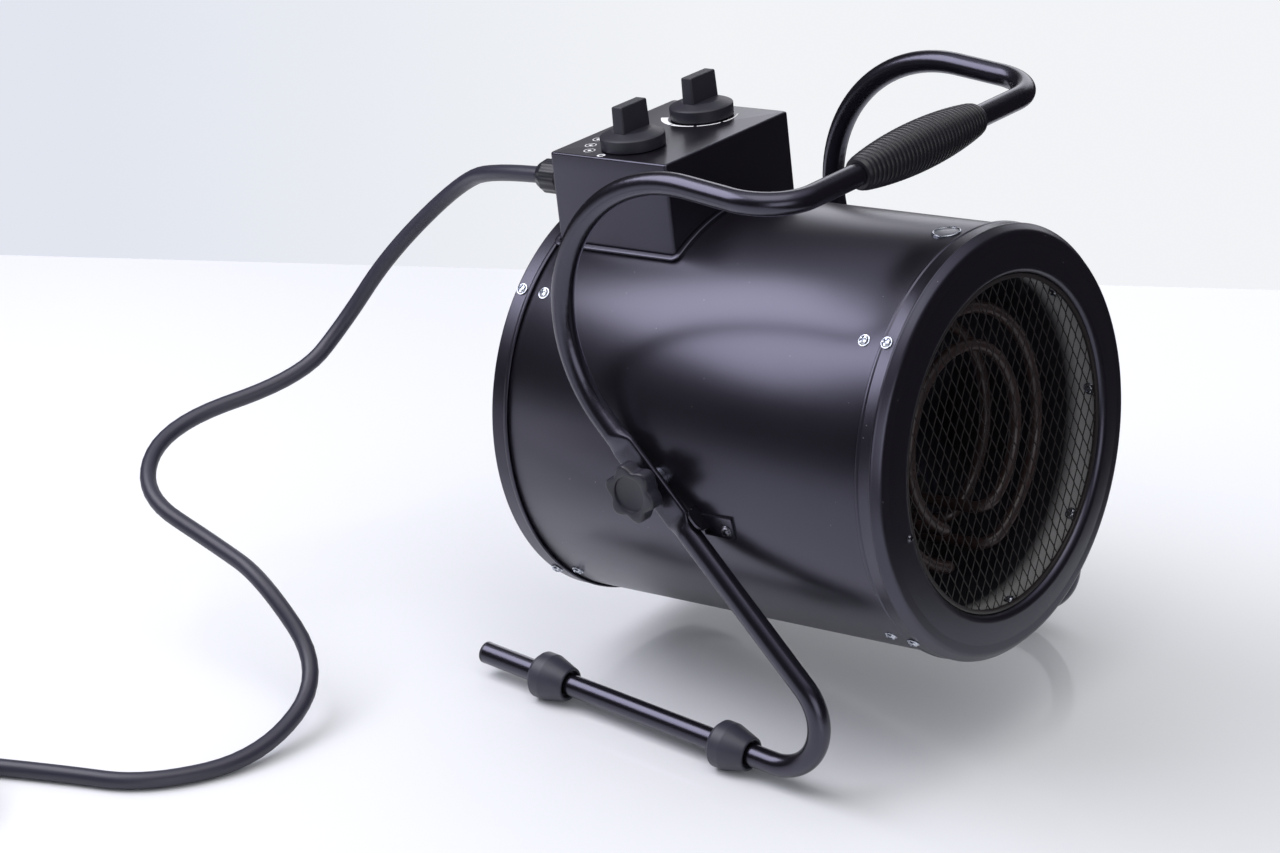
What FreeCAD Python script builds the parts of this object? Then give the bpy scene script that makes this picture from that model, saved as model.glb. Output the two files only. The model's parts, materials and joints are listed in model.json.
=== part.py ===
"""Drum fan heater on a tilting tube stand, as a parametric FreeCAD document.

Two local frames share one origin, the point where the tilt axis crosses the drum's axis:
the stand frame, +X towards the air outlet, +Y to the right-hand side, +Z up, and the heater
frame, which is the stand frame turned about Y by the tilt that the drum rests at.  At the end
every sub-part is placed in the part's own frame: its origin is on the surface that the feet
stand on, under the middle of the box around the heater, free cord and plug left out.
"""
import FreeCAD, Part
import math
import os
import re

import Sketcher
from FreeCAD import Placement, Rotation, Vector

os.makedirs("parts", exist_ok=True)
doc = FreeCAD.newDocument("fan_heater")

# ---------------------------------------------------------------- driving sizes, millimetres
SIZES = {
    # drum case and its two end collars
    "case_radius": 148.2, "case_wall": 1.0, "front_end": 180.0, "rear_end": 149.0,
    "collar_wall": 1.5, "collar_gap": 0.3, "front_band": 12.4, "rear_band": 15.2,
    "shoulder": 8.5, "crease": 2.6, "lip_width": 31.2,
    "opening_radius": "=case_radius - lip_width", "nose": 9.0, "lip_depth": 16.0,
    "rear_face": 20.2, "intake_radius": "=case_radius - rear_face",
    # heat shield, grille and guard
    "liner_gap": 0.3, "liner_wall": 0.8, "liner_length": 118.0, "liner_inset": 6.0,
    "grille_depth": 3.0, "grille_wall": 1.2, "grille_rim": 4.0, "strand": 1.6, "mesh_pitch": 17.0,
    "guard_wire": 1.6, "guard_rings": 9, "guard_spokes": 8,
    # heating elements
    "element_radius": 4.25, "element_big": 90.0, "element_small": 64.0, "element_front": 150.0,
    "element_middle": 77.0, "element_step": 34.0, "element_bend": 14.0, "leg_length": 70.0,
    "element_gap": 40.0,
    "plate_wall": 2.0,
    # motor and fan
    "motor_radius": 42.0, "motor_length": 62.0, "motor_back": 124.0, "shaft_radius": 4.0,
    "shaft_gap": 0.05, "shaft_reach": 34.0, "hub_radius": 22.0, "hub_length": 26.0,
    "fan_radius": 130.0, "fan_blades": 5, "blade_wall": 2.0, "arm_width": 22.0, "arm_wall": 2.0,
    # control box
    "box_gap": 0.3, "box_length": 104.0, "box_width": 140.0, "box_rise": 48.8,
    "box_top": "=case_radius + box_rise", "box_wall": 1.2,
    "trim_width": 4.5, "trim_height": 3.0, "wire_hole": 15.0,
    "terminal_length": 42.0, "terminal_width": 20.0, "terminal_height": 16.0,
    # controls
    "control_back": 82.5, "control_side": 39.0, "knob_radius": 23.0, "knob_base": 8.5,
    "knob_tier": 19.5, "tier_height": 4.5, "bar_width": 10.0, "bar_length": 29.0,
    "bar_height": 18.0, "knob_gap": 0.6, "spindle": 3.0, "spindle_gap": 0.05, "spindle_length": 28.0,
    "switch_size": 44.0, "switch_height": 30.0,
    # cord entry
    "gland_side": 50.0, "gland_drop": 25.0, "gland_height": "=box_top - gland_drop",
    "gland_radius": 13.5, "gland_flange": 7.0,
    "gland_dome": 20.0, "gland_thread": 10.0, "cord_radius": 6.0, "cord_gap": 0.1,
    "plug_nut_radius": 13.5, "plug_nut_length": 22.0, "plug_grip": 14.0, "plug_gap": 0.2,
    "plug_body_radius": 26.0, "plug_body_length": 71.8, "plug_shroud_radius": 33.0,
    "plug_shroud_length": 43.8, "plug_shroud_wall": 2.5, "plug_shroud_floor": 8.0, "pin_count": 5,
    "pin_radius": 2.5, "earth_pin_radius": 3.0, "pin_length": 34.0, "pin_ring": 17.0,
    # tube stand
    "tube_radius": 8.0, "tube_wall": 1.5, "arm_angle": 41.0, "floor_room": 32.3,
    "foot_drop": "=case_radius + floor_room",
    "foot_back": 151.0, "handle_over": 24.0,
    "handle_rise": "=box_top + handle_over", "front_bend": 38.0, "top_bend": 106.5,
    "corner_bend": 37.5, "handle_front": 104.0, "arm_room": 7.8, "arm_side": "=case_radius + arm_room",
    "flat_half": 30.0, "flat_fade": 12.0, "flat_wall": 6.0, "flat_height": 22.0,
    "cap_wall": 2.5, "cap_depth": 12.0,
    # rubber feet and grip
    "foot_radius": 17.0, "foot_nose": 11.5, "foot_length": 29.0, "foot_straight": 12.0,
    "foot_flat": 0.4, "rear_foot": 88.0, "front_foot": 73.0,
    "grip_half": 69.0, "grip_middle": 17.0, "grip_end": 10.2,
    # pivot, star knobs and stops
    "rest_tilt": 7.6, "pivot_gap": 0.3, "pivot_flange": 9.0, "pivot_sleeve": 6.0,
    "sleeve_depth": 12.0, "stud_radius": 4.0, "stud_length": 38.0, "stud_gap": 0.05, "pivot_hole": 4.3,
    "star_radius": 21.0, "star_lobes": 6, "lobe_radius": 6.0, "star_height": 12.0,
    "star_neck": 9.0, "neck_height": 9.0, "lug_reach": 40.0, "lug_gap": 0.5, "lug_wall": 2.0,
    "lug_height": 11.0, "lug_length": 18.0, "lug_base": 16.0, "lug_screw": 54.5,
    # fasteners and badge
    "screw_head": 4.4, "screw_rise": 2.4, "screw_shank": 1.9, "screw_reach": 5.0,
    "front_screw": 27.0, "band_screw": 8.0, "rear_screw": 26.0, "ring_screw": 7.0,
    "badge_radius": 10.0, "badge_wall": 0.8, "badge_back": 27.0, "badge_side": 4.0,
}
sheet = doc.addObject("Spreadsheet::Sheet", "sizes")
for row, (alias, value) in enumerate(SIZES.items(), start=1):
    sheet.set(f"A{row}", alias.replace("_", " "))
    sheet.set(f"B{row}", str(value))
    sheet.setAlias(f"B{row}", alias)
doc.recompute()


def size(expression):
    """Value of an expression in the sheet's names."""
    return float(sheet.evalExpression(expression))


def bound(expression):
    """The same expression as an object outside the sheet writes it."""
    return re.sub(r"[a-z_]+", lambda word: "sizes." + word.group() if word.group() in SIZES
                  else word.group(), expression)


# ---------------------------------------------------------------- how sub-parts are made
HEATER, STAND, CORD = "heater", "stand", "cord"
subparts = {}


def keep(obj, name, frame=HEATER, at=Vector()):
    """Register a finished object as a sub-part, moved to a place in one of the frames."""
    obj.Label = name
    subparts[name] = (obj, frame, at)
    return obj


def add_shape(name, shape, frame=HEATER):
    """A sub-part whose shape is worked out by Part's own functions."""
    feature = doc.addObject("Part::Feature", name)
    feature.Shape = shape
    return keep(feature, name, frame)


def sketch_on(body, name, role, corners, arcs=()):
    """Closed outline whose corners are bound to the sheet; arcs maps a side to its radius."""
    sketch = body.newObject("Sketcher::SketchObject", name)
    plane = next(feature for feature in body.Origin.OriginFeatures if feature.Role == role)
    sketch.AttachmentSupport = [(plane, "")]
    sketch.MapMode = "FlatFace"
    points = [Vector(size(u), size(v), 0) for u, v in corners]
    radii = dict(arcs)
    for side, start in enumerate(points):
        end = points[(side + 1) % len(points)]
        if side in radii:
            sketch.addGeometry(rounded_side(start, end, size(radii[side])))
        else:
            sketch.addGeometry(Part.LineSegment(start, end))
    for side, (u, v) in enumerate(corners):
        start = 2 if side in radii else 1
        before = (side - 1) % len(points)
        sketch.addConstraint(Sketcher.Constraint(
            "Coincident", before, 1 if before in radii else 2, side, start))
        for kind, text, value in (("DistanceX", u, points[side].x), ("DistanceY", v, points[side].y)):
            index = sketch.addConstraint(Sketcher.Constraint(kind, -1, 1, side, start, value))
            sketch.setExpression(f"Constraints[{index}]", bound(text))
    for side, text in radii.items():
        index = sketch.addConstraint(Sketcher.Constraint("Radius", side, size(text)))
        sketch.setExpression(f"Constraints[{index}]", bound(text))
    return sketch


def rounded_side(start, end, radius):
    """Arc from start to end that turns clockwise, so it bulges to the left of its chord."""
    middle = (start + end) / 2
    chord = end - start
    left = Vector(-chord.y, chord.x, 0).normalize()
    centre = middle - left * math.sqrt(radius ** 2 - (chord.Length / 2) ** 2)
    first, last = end - centre, start - centre
    circle = Part.Circle(centre, Vector(0, 0, 1), radius)
    return Part.ArcOfCircle(circle, math.atan2(first.y, first.x), math.atan2(last.y, last.x))


def turned(name, corners, arcs=(), frame=HEATER, about="X", at=Vector()):
    """PartDesign body: an outline in the XZ or YZ plane revolved about X, Y or Z."""
    body = doc.addObject("PartDesign::Body", name)
    role = {"X": "XZ_Plane", "Z": "XZ_Plane", "Y": "YZ_Plane"}[about]
    sketch = sketch_on(body, name + "_outline", role, corners, arcs)
    turn = body.newObject("PartDesign::Revolution", name + "_turn")
    turn.Profile = sketch
    turn.ReferenceAxis = (sketch, ["V_Axis"] if about == "Z" else ["H_Axis"])
    turn.Angle = 360.0
    return keep(body, name, frame, at)


def cut_round(body, name, role, centre, radius, length, middle=True, backwards=False):
    """Pocket a round hole, through its plane or to one side of it."""
    sketch = body.newObject("Sketcher::SketchObject", name + "_outline")
    plane = next(feature for feature in body.Origin.OriginFeatures if feature.Role == role)
    sketch.AttachmentSupport = [(plane, "")]
    sketch.MapMode = "FlatFace"
    u, v = centre
    sketch.addGeometry(Part.Circle(Vector(size(u), size(v), 0), Vector(0, 0, 1), size(radius)))
    for kind, text in (("DistanceX", u), ("DistanceY", v)):
        index = sketch.addConstraint(Sketcher.Constraint(kind, -1, 1, 0, 3, size(text)))
        sketch.setExpression(f"Constraints[{index}]", bound(text))
    index = sketch.addConstraint(Sketcher.Constraint("Radius", 0, size(radius)))
    sketch.setExpression(f"Constraints[{index}]", bound(radius))
    pocket = body.newObject("PartDesign::Pocket", name)
    pocket.Profile = sketch
    pocket.Length = size(length)
    pocket.setExpression("Length", bound(length))
    pocket.Midplane = middle
    pocket.Reversed = backwards
    return pocket


def block(name, lengths, corner):
    """Part::Box with its sizes and its lowest corner bound to the sheet."""
    box = doc.addObject("Part::Box", name)
    for side, text in zip(("Length", "Width", "Height"), lengths):
        box.setExpression(side, bound(text))
    for axis, text in zip("xyz", corner):
        box.setExpression(f"Placement.Base.{axis}", bound(text))
    return box


def drum(name, radius, length, base, direction):
    """Part::Cylinder that starts at base and runs along direction."""
    cylinder = doc.addObject("Part::Cylinder", name)
    cylinder.setExpression("Radius", bound(radius))
    cylinder.setExpression("Height", bound(length))
    cylinder.Placement = Placement(Vector(), Rotation(Vector(0, 0, 1), direction))
    for axis, text in zip("xyz", base):
        cylinder.setExpression(f"Placement.Base.{axis}", bound(text))
    return cylinder


def cut(name, base, tool, frame=None):
    """Part::Cut; kept as a sub-part when it is given a frame."""
    result = doc.addObject("Part::Cut", name)
    result.Base = base
    result.Tool = tool
    return keep(result, name, frame) if frame else result


def joined(name, shapes, frame=None, kind="Part::MultiFuse"):
    """Part::MultiFuse, or MultiCommon; kept as a sub-part when it is given a frame."""
    result = doc.addObject(kind, name)
    result.Shapes = shapes
    return keep(result, name, frame) if frame else result


X, Y, Z = Vector(1, 0, 0), Vector(0, 1, 0), Vector(0, 0, 1)


def rod(start, end, radius):
    """Round bar between two points."""
    return Part.makeCylinder(radius, (end - start).Length, start, end - start)


def bent_rod(corners, bends, radius):
    """Round bar along straight runs joined by tangent arcs, and the length of its middle line."""
    pieces, length, start = [], 0.0, corners[0]
    for before, corner, after, bend in zip(corners, corners[1:], corners[2:], bends):
        incoming = (corner - before).normalize()
        outgoing = (after - corner).normalize()
        turn = incoming.getAngle(outgoing)
        reach = bend * math.tan(turn / 2)
        first = corner - incoming * reach
        axis = incoming.cross(outgoing).normalize()
        centre = first + axis.cross(incoming) * bend
        if (first - start).Length > 1e-6:
            pieces.append(rod(start, first, radius))
        disc = Part.Face(Part.Wire(Part.makeCircle(radius, first, incoming)))
        pieces.append(disc.revolve(centre, axis, math.degrees(turn)))
        length += (first - start).Length + bend * turn
        start = corner + outgoing * reach
    pieces.append(rod(start, corners[-1], radius))
    length += (corners[-1] - start).Length
    return fused(pieces), length


def fused(pieces):
    """One solid from pieces that touch or overlap."""
    whole = pieces[0].multiFuse(pieces[1:]) if len(pieces) > 1 else pieces[0]
    return whole.removeSplitter()


def around(shape, count, first=0.0):
    """Copies of a shape turned about the drum's axis, evenly spaced."""
    copies = []
    for index in range(int(count)):
        copy = shape.copy()
        copy.rotate(Vector(), X, first + 360.0 / count * index)
        copies.append(copy)
    return copies


def mirrored(shape):
    """The same shape on the other side of the middle plane."""
    return shape.mirror(Vector(), Y)


def group(shapes):
    """Several separate solids in one shape."""
    return Part.makeCompound([solid for shape in shapes for solid in shape.Solids])


# ---------------------------------------------------------------- drum case and collars
turned("outer_case", [
    ("-rear_end + collar_wall + collar_gap", "case_radius - case_wall"),
    ("-rear_end + collar_wall + collar_gap", "case_radius"),
    ("front_end - collar_wall - collar_gap", "case_radius"),
    ("front_end - collar_wall - collar_gap", "case_radius - case_wall")])
outer_case = subparts["outer_case"][0]
cut_round(outer_case, "wiring_hole", "XY_Plane", ("-control_back", "0"), "wire_hole",
          "case_radius + 5", middle=False, backwards=True)
cut_round(outer_case, "pivot_holes", "XZ_Plane", ("0", "0"), "pivot_sleeve + 0.2",
          "2 * case_radius + 10")

collar_radius = "(case_radius + collar_gap + collar_wall)"
shoulder_x = "(front_end - crease)"
shoulder_r = f"({collar_radius} - sqrt(shoulder^2 - crease^2))"
inner_shoulder = "(shoulder - collar_wall)"
turned("front_collar", [
    ("front_end - front_band", "case_radius + collar_gap"),
    ("front_end - front_band", collar_radius),
    ("front_end", collar_radius),
    (f"{shoulder_x} + shoulder", shoulder_r),
    ("front_end + nose", "opening_radius + collar_wall"),
    ("front_end + nose - collar_wall", "opening_radius"),
    ("front_end + nose - lip_depth", "opening_radius"),
    ("front_end + nose - lip_depth", "opening_radius + collar_wall"),
    ("front_end + nose - 1.5 * collar_wall", "opening_radius + collar_wall"),
    (f"{shoulder_x} + {inner_shoulder}", shoulder_r),
    (f"{shoulder_x} + crease", f"{shoulder_r} + sqrt({inner_shoulder}^2 - crease^2)")],
    arcs=((2, "shoulder"), (4, "collar_wall")))

turned("rear_collar", [
    ("-rear_end + rear_band", "case_radius + collar_gap"),
    ("-rear_end + collar_wall", "case_radius + collar_gap"),
    ("-rear_end + collar_wall", "intake_radius"),
    ("-rear_end", "intake_radius"),
    ("-rear_end", f"{collar_radius} - 2"),
    ("-rear_end + 2", collar_radius),
    ("-rear_end + rear_band", collar_radius)],
    arcs=((4, "2"),))

# ---------------------------------------------------------------- heat shield and its brackets
liner_radius = "(opening_radius - liner_gap)"
liner_front = "(front_end + nose - liner_inset)"
turned("inner_liner", [
    (f"{liner_front} - liner_length", f"{liner_radius} - liner_wall"),
    (f"{liner_front} - liner_length", liner_radius),
    (liner_front, liner_radius),
    (liner_front, f"{liner_radius} - liner_wall")])


def liner_bracket():
    """Bent strip that stands the heat shield off the case."""
    inner, outer = size(liner_radius) + 0.1, size("case_radius - case_wall") - 0.4
    middle, half, wall = size("front_end - front_screw"), 9.0, 1.2
    foot = Part.makeBox(2 * half, 16, wall, Vector(middle - half, -8, outer - wall - 0.4))
    leg = Part.makeBox(wall, 16, outer - inner - 2 * wall, Vector(middle - half, -8, inner + wall))
    toe = Part.makeBox(2 * half, 16, wall, Vector(middle - half, -8, inner + 0.6))
    return fused([foot, leg, toe])


add_shape("liner_brackets", group(around(liner_bracket(), 4, 45)))

# ---------------------------------------------------------------- front grille and rear guard
def expanded_mesh():
    """Rim ring with two families of crossed strands, kept to the ring's outline."""
    outer = size("opening_radius") - size("liner_gap")
    rim, wall, strand = size("grille_rim"), size("grille_wall"), size("strand")
    front = size(liner_front) + 0.2
    disc = Part.makeCylinder(outer, wall, Vector(front, 0, 0), X)
    hole = Part.makeCylinder(outer - rim, wall, Vector(front, 0, 0), X)
    bars = []
    pitch = size("mesh_pitch")
    count = int(outer / pitch)
    for lean in (-30.0, 30.0):
        for step in range(-count, count + 1):
            bar = Part.makeBox(wall, strand, 2 * outer, Vector(front, step * pitch - strand / 2, -outer))
            bar.rotate(Vector(), X, lean)
            bars.append(bar)
    web = hole.common(bars[0].multiFuse(bars[1:]))
    return disc.cut(hole).fuse(web).removeSplitter()


add_shape("front_grille", expanded_mesh())


def wire_guard():
    """Round wires on spokes across the air intake, with a pad in the middle."""
    wire, rings = size("guard_wire"), int(size("guard_rings"))
    plane = -size("rear_end") + size("collar_wall") + wire + 0.1
    outer = size("intake_radius") + 5
    pieces = [Part.makeTorus(outer * (step + 1) / rings, wire, Vector(plane, 0, 0), X)
              for step in range(rings)]
    spoke = rod(Vector(plane + 1.5 * wire, 0, 8), Vector(plane + 1.5 * wire, 0, outer), wire)
    pieces += around(spoke, size("guard_spokes"), 22.5)
    pieces.append(Part.makeCylinder(outer / rings + wire, 2.5 * wire, Vector(plane - wire, 0, 0), X))
    return fused(pieces)


add_shape("rear_guard", wire_guard())

# ---------------------------------------------------------------- heating elements
def element(radius, front):
    """Ring of sheathed tube, open at the bottom, whose two legs turn back to the terminals."""
    gap, bend = size("element_gap") / 2, size("element_bend")
    tube, leg = size("element_radius"), size("leg_length")
    sweep = math.asin((gap + bend) / radius)
    ring = Part.Face(Part.Wire(Part.makeCircle(
        tube, Vector(front, radius * math.sin(sweep), -radius * math.cos(sweep)),
        Vector(0, math.cos(sweep), math.sin(sweep)))))
    pieces = [ring.revolve(Vector(front, 0, 0), X, 360 - 2 * math.degrees(sweep))]
    end = Vector(front, radius * math.sin(sweep), -radius * math.cos(sweep))
    inward = Vector(0, -math.cos(sweep), -math.sin(sweep))
    knee = end + inward * bend
    for side in (1, -1):
        corners = [end, knee, knee - X * leg]
        leg_shape, _ = bent_rod([Vector(p.x, side * p.y, p.z) for p in corners], [bend - 0.5], tube)
        pieces.append(leg_shape)
    return fused(pieces), knee


ELEMENTS = {"outer_element": ("element_big", "element_front"),
            "inner_element": ("element_small", "element_front"),
            "rear_element": ("element_middle", "element_front - element_step")}
legs = []
for name, (radius, front) in ELEMENTS.items():
    shape, knee = element(size(radius), size(front))
    add_shape(name, shape)
    legs.append(knee)


def element_plate():
    """Upright plate at the ends of the legs, with a foot along the heat shield."""
    wall, inside = size("plate_wall"), size(f"{liner_radius} - liner_wall")
    back = size("element_front - leg_length") + 6
    half = max(abs(knee.y) for knee in legs) + 14
    low = -math.sqrt((inside - 1.5) ** 2 - half ** 2)
    foot = -inside + 2.6
    top = max(knee.z for knee in legs) + 12
    plate = Part.makeBox(wall, 2 * half, top - low, Vector(back, -half, low))
    stem = Part.makeBox(wall, 30, low - foot + 1, Vector(back, -15, foot))
    sole = Part.makeBox(16, 30, wall, Vector(back, -15, foot))
    holes = [rod(Vector(back - 5, side * knee.y, knee.z), Vector(back + 9, side * knee.y, knee.z),
                 size("element_radius") + 0.1) for knee in legs for side in (1, -1)]
    return fused([plate, stem, sole]).cut(holes)


add_shape("element_plate", element_plate())

# ---------------------------------------------------------------- motor and fan
shaft_hole = "shaft_radius + shaft_gap"
motor_front = "(motor_length - motor_back)"
turned("motor", [
    ("-motor_back", shaft_hole), ("-motor_back", "motor_radius - 3"), ("3 - motor_back", "motor_radius"),
    (f"{motor_front} - 3", "motor_radius"), (motor_front, "motor_radius - 3"), (motor_front, "14"),
    (f"{motor_front} + 4", "14"), (f"{motor_front} + 4", shaft_hole)])
turned("motor_shaft", [
    ("5 - motor_back", "0"), ("5 - motor_back", "shaft_radius"),
    (f"{motor_front} + shaft_reach", "shaft_radius"), (f"{motor_front} + shaft_reach", "0")])


def fan_wheel():
    """Hub with twisted blades whose roots lie steeper across the air stream than their tips."""
    hub, tip, wall = size("hub_radius"), size("fan_radius"), size("blade_wall")
    back, length = size(motor_front) + 8, size("hub_length")
    middle = Vector(back + length / 2, 0, 0)

    def section(radius, chord, pitch):
        corners = [Vector(u, v, 0) for u, v in
                   ((-chord / 2, -wall / 2), (chord / 2, -wall / 2), (chord / 2, wall / 2),
                    (-chord / 2, wall / 2))]
        wire = Part.makePolygon([Vector(p.y, p.x, radius) for p in corners + corners[:1]])
        wire.rotate(Vector(), Z, -pitch)
        wire.translate(middle)
        return wire

    blade = Part.makeLoft([section(hub - 3, 34, 42), section(tip, 62, 24)], True, True)
    blade = blade.common(Part.makeCylinder(tip, 3 * length, middle - X * 1.5 * length, X))
    wheel = fused([Part.makeCylinder(hub, length, Vector(back, 0, 0), X)] + around(blade, size("fan_blades")))
    bore = size("shaft_radius") + 0.02
    return wheel.cut(Part.makeCylinder(bore, 2 * length, Vector(back - 5, 0, 0), X))


add_shape("fan_wheel", fan_wheel())


def motor_bracket():
    """Plate behind the motor with arms bent forward against the case wall."""
    inside, half, wall = size("case_radius - case_wall"), size("arm_width") / 2, size("arm_wall")
    back = -size("motor_back") - wall - 0.2
    seat = math.sqrt(inside ** 2 - half ** 2) - 0.3
    arm = Part.makeBox(wall, 2 * half, seat, Vector(back, -half, 0))
    flange = Part.makeBox(20, 2 * half, wall, Vector(back, -half, seat - wall))
    plate = Part.makeCylinder(size("motor_radius") - 6, wall, Vector(back, 0, 0), X)
    return fused([plate] + around(arm.fuse(flange), 4, 45))


add_shape("motor_bracket", motor_bracket())

# ---------------------------------------------------------------- control box, trim and badge
box_back = "(rear_band - rear_end + box_gap)"
box_low = "(box_width / 2)"
box_body = block("box_outside", ("box_length", "box_width", "box_top - 60"),
                 (box_back, f"-{box_low}", "60"))
box_room = block("box_inside",
                 ("box_length - 2 * box_wall", "box_width - 2 * box_wall", "box_top - 50 - box_wall"),
                 (f"{box_back} + box_wall", f"box_wall - {box_low}", "50"))
case_room = drum("case_room", "case_radius + 0.3", "2 * rear_end", ("-1.5 * rear_end", "0", "0"), X)
gland_hole = drum("gland_hole", "gland_thread + 0.2", "20",
                  (f"{box_back} - 10", "-gland_side", "gland_height"), X)
spindle_holes = [drum(f"spindle_hole_{side}", "spindle + 1.5", "20",
                      ("-control_back", f"{side} * control_side", "box_top - 10"), Z) for side in (-1, 1)]
cut("control_box", box_body, joined("box_tools", [box_room, case_room, gland_hole] + spindle_holes), HEATER)

trim_outside = block("trim_outside",
                     ("box_length + trim_width", "box_width + 2 * trim_width", "box_top - 70"),
                     (box_back, f"-{box_low} - trim_width", "60"))
trim_inside = block("trim_inside", ("box_length + 10.2", "box_width + 0.4", "box_top - 50"),
                    (f"{box_back} - 10", f"-{box_low} - 0.2", "50"))
trim_shell = cut("trim_shell", drum("trim_over", "case_radius + trim_height", "2 * rear_end",
                                    ("-1.5 * rear_end", "0", "0"), X),
                 drum("trim_under", "case_radius + 0.1", "2 * rear_end + 20",
                      ("-1.5 * rear_end - 10", "0", "0"), X))
joined("box_trim", [cut("trim_ring", trim_outside, trim_inside), trim_shell], HEATER, "Part::MultiCommon")

badge_shell = cut("badge_shell",
                  drum("badge_over", "case_radius + badge_wall", "front_end", ("0", "0", "0"), X),
                  drum("badge_under", "case_radius + 0.05", "front_end + 20", ("-10", "0", "0"), X))
badge_disc = drum("badge_disc", "badge_radius", "80",
                  ("front_end - badge_back", "-badge_side", "case_radius - 40"), Z)
joined("round_badge", [badge_disc, badge_shell], HEATER, "Part::MultiCommon")

# ---------------------------------------------------------------- switch, thermostat and knobs
control_top = "(box_top - box_wall - 0.3)"
CONTROLS = {"switch": (-1, "rotary_switch", "switch_size", "switch_height"),
            "thermostat": (1, "thermostat", "0.75 * switch_size", "0.8 * switch_height")}
for control, (side, housing, width, height) in CONTROLS.items():
    along = f"{side} * control_side"
    hollow = drum(f"{housing}_bore", "spindle + spindle_gap", "30",
                  ("-control_back", along, f"{control_top} - 20"), Z)
    shell = block(f"{housing}_block", (width, width, height),
                  (f"-control_back - {width} / 2", f"{along} - {width} / 2", f"{control_top} - {height}"))
    cut(housing, shell, hollow, HEATER)
    foot = "(box_top + knob_gap)"
    base = drum(f"{control}_base", "knob_radius", "knob_base", ("-control_back", along, foot), Z)
    tier = drum(f"{control}_tier", "knob_tier", "tier_height",
                ("-control_back", along, f"{foot} + knob_base"), Z)
    bar = block(f"{control}_bar", ("bar_width", "bar_length", "bar_height + 2"),
                ("-control_back - bar_width / 2", f"{along} - bar_length / 2",
                 f"{foot} + knob_base + tier_height - 2"))
    bore = drum(f"{control}_knob_bore", "spindle + 0.02", "knob_base + tier_height",
                ("-control_back", along, foot), Z)
    cut(f"{control}_knob", joined(f"{control}_knob_blank", [base, tier, bar]), bore, HEATER)
    turned(f"{control}_spindle",
           [("0", "0"), ("0", "spindle_length"), ("spindle", "spindle_length"), ("spindle", "0")],
           about="Z", at=Vector(-size("control_back"), size(along),
                                size("box_top + knob_gap + knob_base - spindle_length")))

terminal_blank = block("terminal_blank", ("terminal_length", "terminal_width", "terminal_height"),
                       ("-control_back - terminal_length / 2", "-terminal_width / 2", "case_radius + 4"))
terminal_wells = [drum(f"terminal_well_{index}", "2.6", "12",
                       (f"-control_back + {7.6 * index}", "0", "case_radius + 12"),
                       Z) for index in range(-2, 3)]
cut("terminal_block", terminal_blank, joined("terminal_wells", terminal_wells), HEATER)

bulb_x, bulb_z, bulb_half = -size("rear_end") + size("collar_wall") + 14, 60.0, 35.0
add_shape("thermostat_bulb", rod(Vector(bulb_x, -bulb_half, bulb_z), Vector(bulb_x, bulb_half, bulb_z), 3.0))
thermostat_low = size(f"{control_top} - 0.8 * switch_height")
control_x, hole_side = -size("control_back"), size("(terminal_width / 2 + wire_hole) / 2")
capillary, _ = bent_rod(
    [Vector(control_x, 34, thermostat_low - 0.1), Vector(control_x, 34, thermostat_low - 9),
     Vector(control_x, hole_side, thermostat_low - 15),
     Vector(control_x, hole_side, size("case_radius") - 12),
     Vector(control_x - 26, 14, size("case_radius") - 24), Vector(bulb_x, 30, 100),
     Vector(bulb_x, 56, 74), Vector(bulb_x, 50, bulb_z), Vector(bulb_x, bulb_half + 0.1, bulb_z)],
    [4.0] * 7, 1.0)
add_shape("capillary_tube", capillary)

cutout_x, cutout_z = size("front_end") - 60, size(liner_radius) + 0.2
add_shape("safety_cutout", fused([Part.makeCylinder(11, 1.2, Vector(cutout_x, 0, cutout_z), Z),
                                  Part.makeCylinder(8, 11, Vector(cutout_x, 0, cutout_z), Z)]))

# ---------------------------------------------------------------- cord gland
def hexagon(name, radius, length, base):
    """Part::Prism with six sides, along X."""
    prism = doc.addObject("Part::Prism", name)
    prism.Polygon = 6
    prism.setExpression("Circumradius", bound(radius))
    prism.setExpression("Height", bound(length))
    prism.Placement = Placement(Vector(), Rotation(Vector(0, 0, 1), X))
    for axis, text in zip("xyz", base):
        prism.setExpression(f"Placement.Base.{axis}", bound(text))
    return prism


def gland_line(x):
    """Point on the gland's axis."""
    return (x, "-gland_side", "gland_height")


flange_back = f"({box_back} - 0.2 - gland_flange)"
gland_body = joined("gland_body", [
    hexagon("gland_hexagon", "gland_radius", "gland_flange", gland_line(flange_back)),
    drum("gland_screw", "gland_thread", "gland_flange + 12", gland_line(flange_back), X)])
cut("cord_gland", gland_body, drum("gland_bore", "cord_radius + cord_gap", "80",
                                   gland_line(f"{flange_back} - 40"), X), HEATER)
nut_back = f"({flange_back} - 0.2 - gland_dome)"
nut_blank = joined("nut_blank", [
    drum("nut_barrel", "gland_radius - 1.2", "gland_dome - 5", gland_line(f"{nut_back} + 5"), X),
    drum("nut_mouth", "gland_radius - 4", "gland_dome", gland_line(nut_back), X)])
cut("gland_nut", nut_blank,
    drum("nut_bore", "cord_radius + cord_gap", "80", gland_line(f"{nut_back} - 40"), X),
    HEATER)
cut("gland_locknut", hexagon("locknut_blank", "gland_radius", "4",
                             gland_line(f"{box_back} + box_wall + 0.2")),
    drum("locknut_bore", "gland_thread + 0.05", "20", gland_line(f"{box_back} - 5"), X), HEATER)

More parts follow.
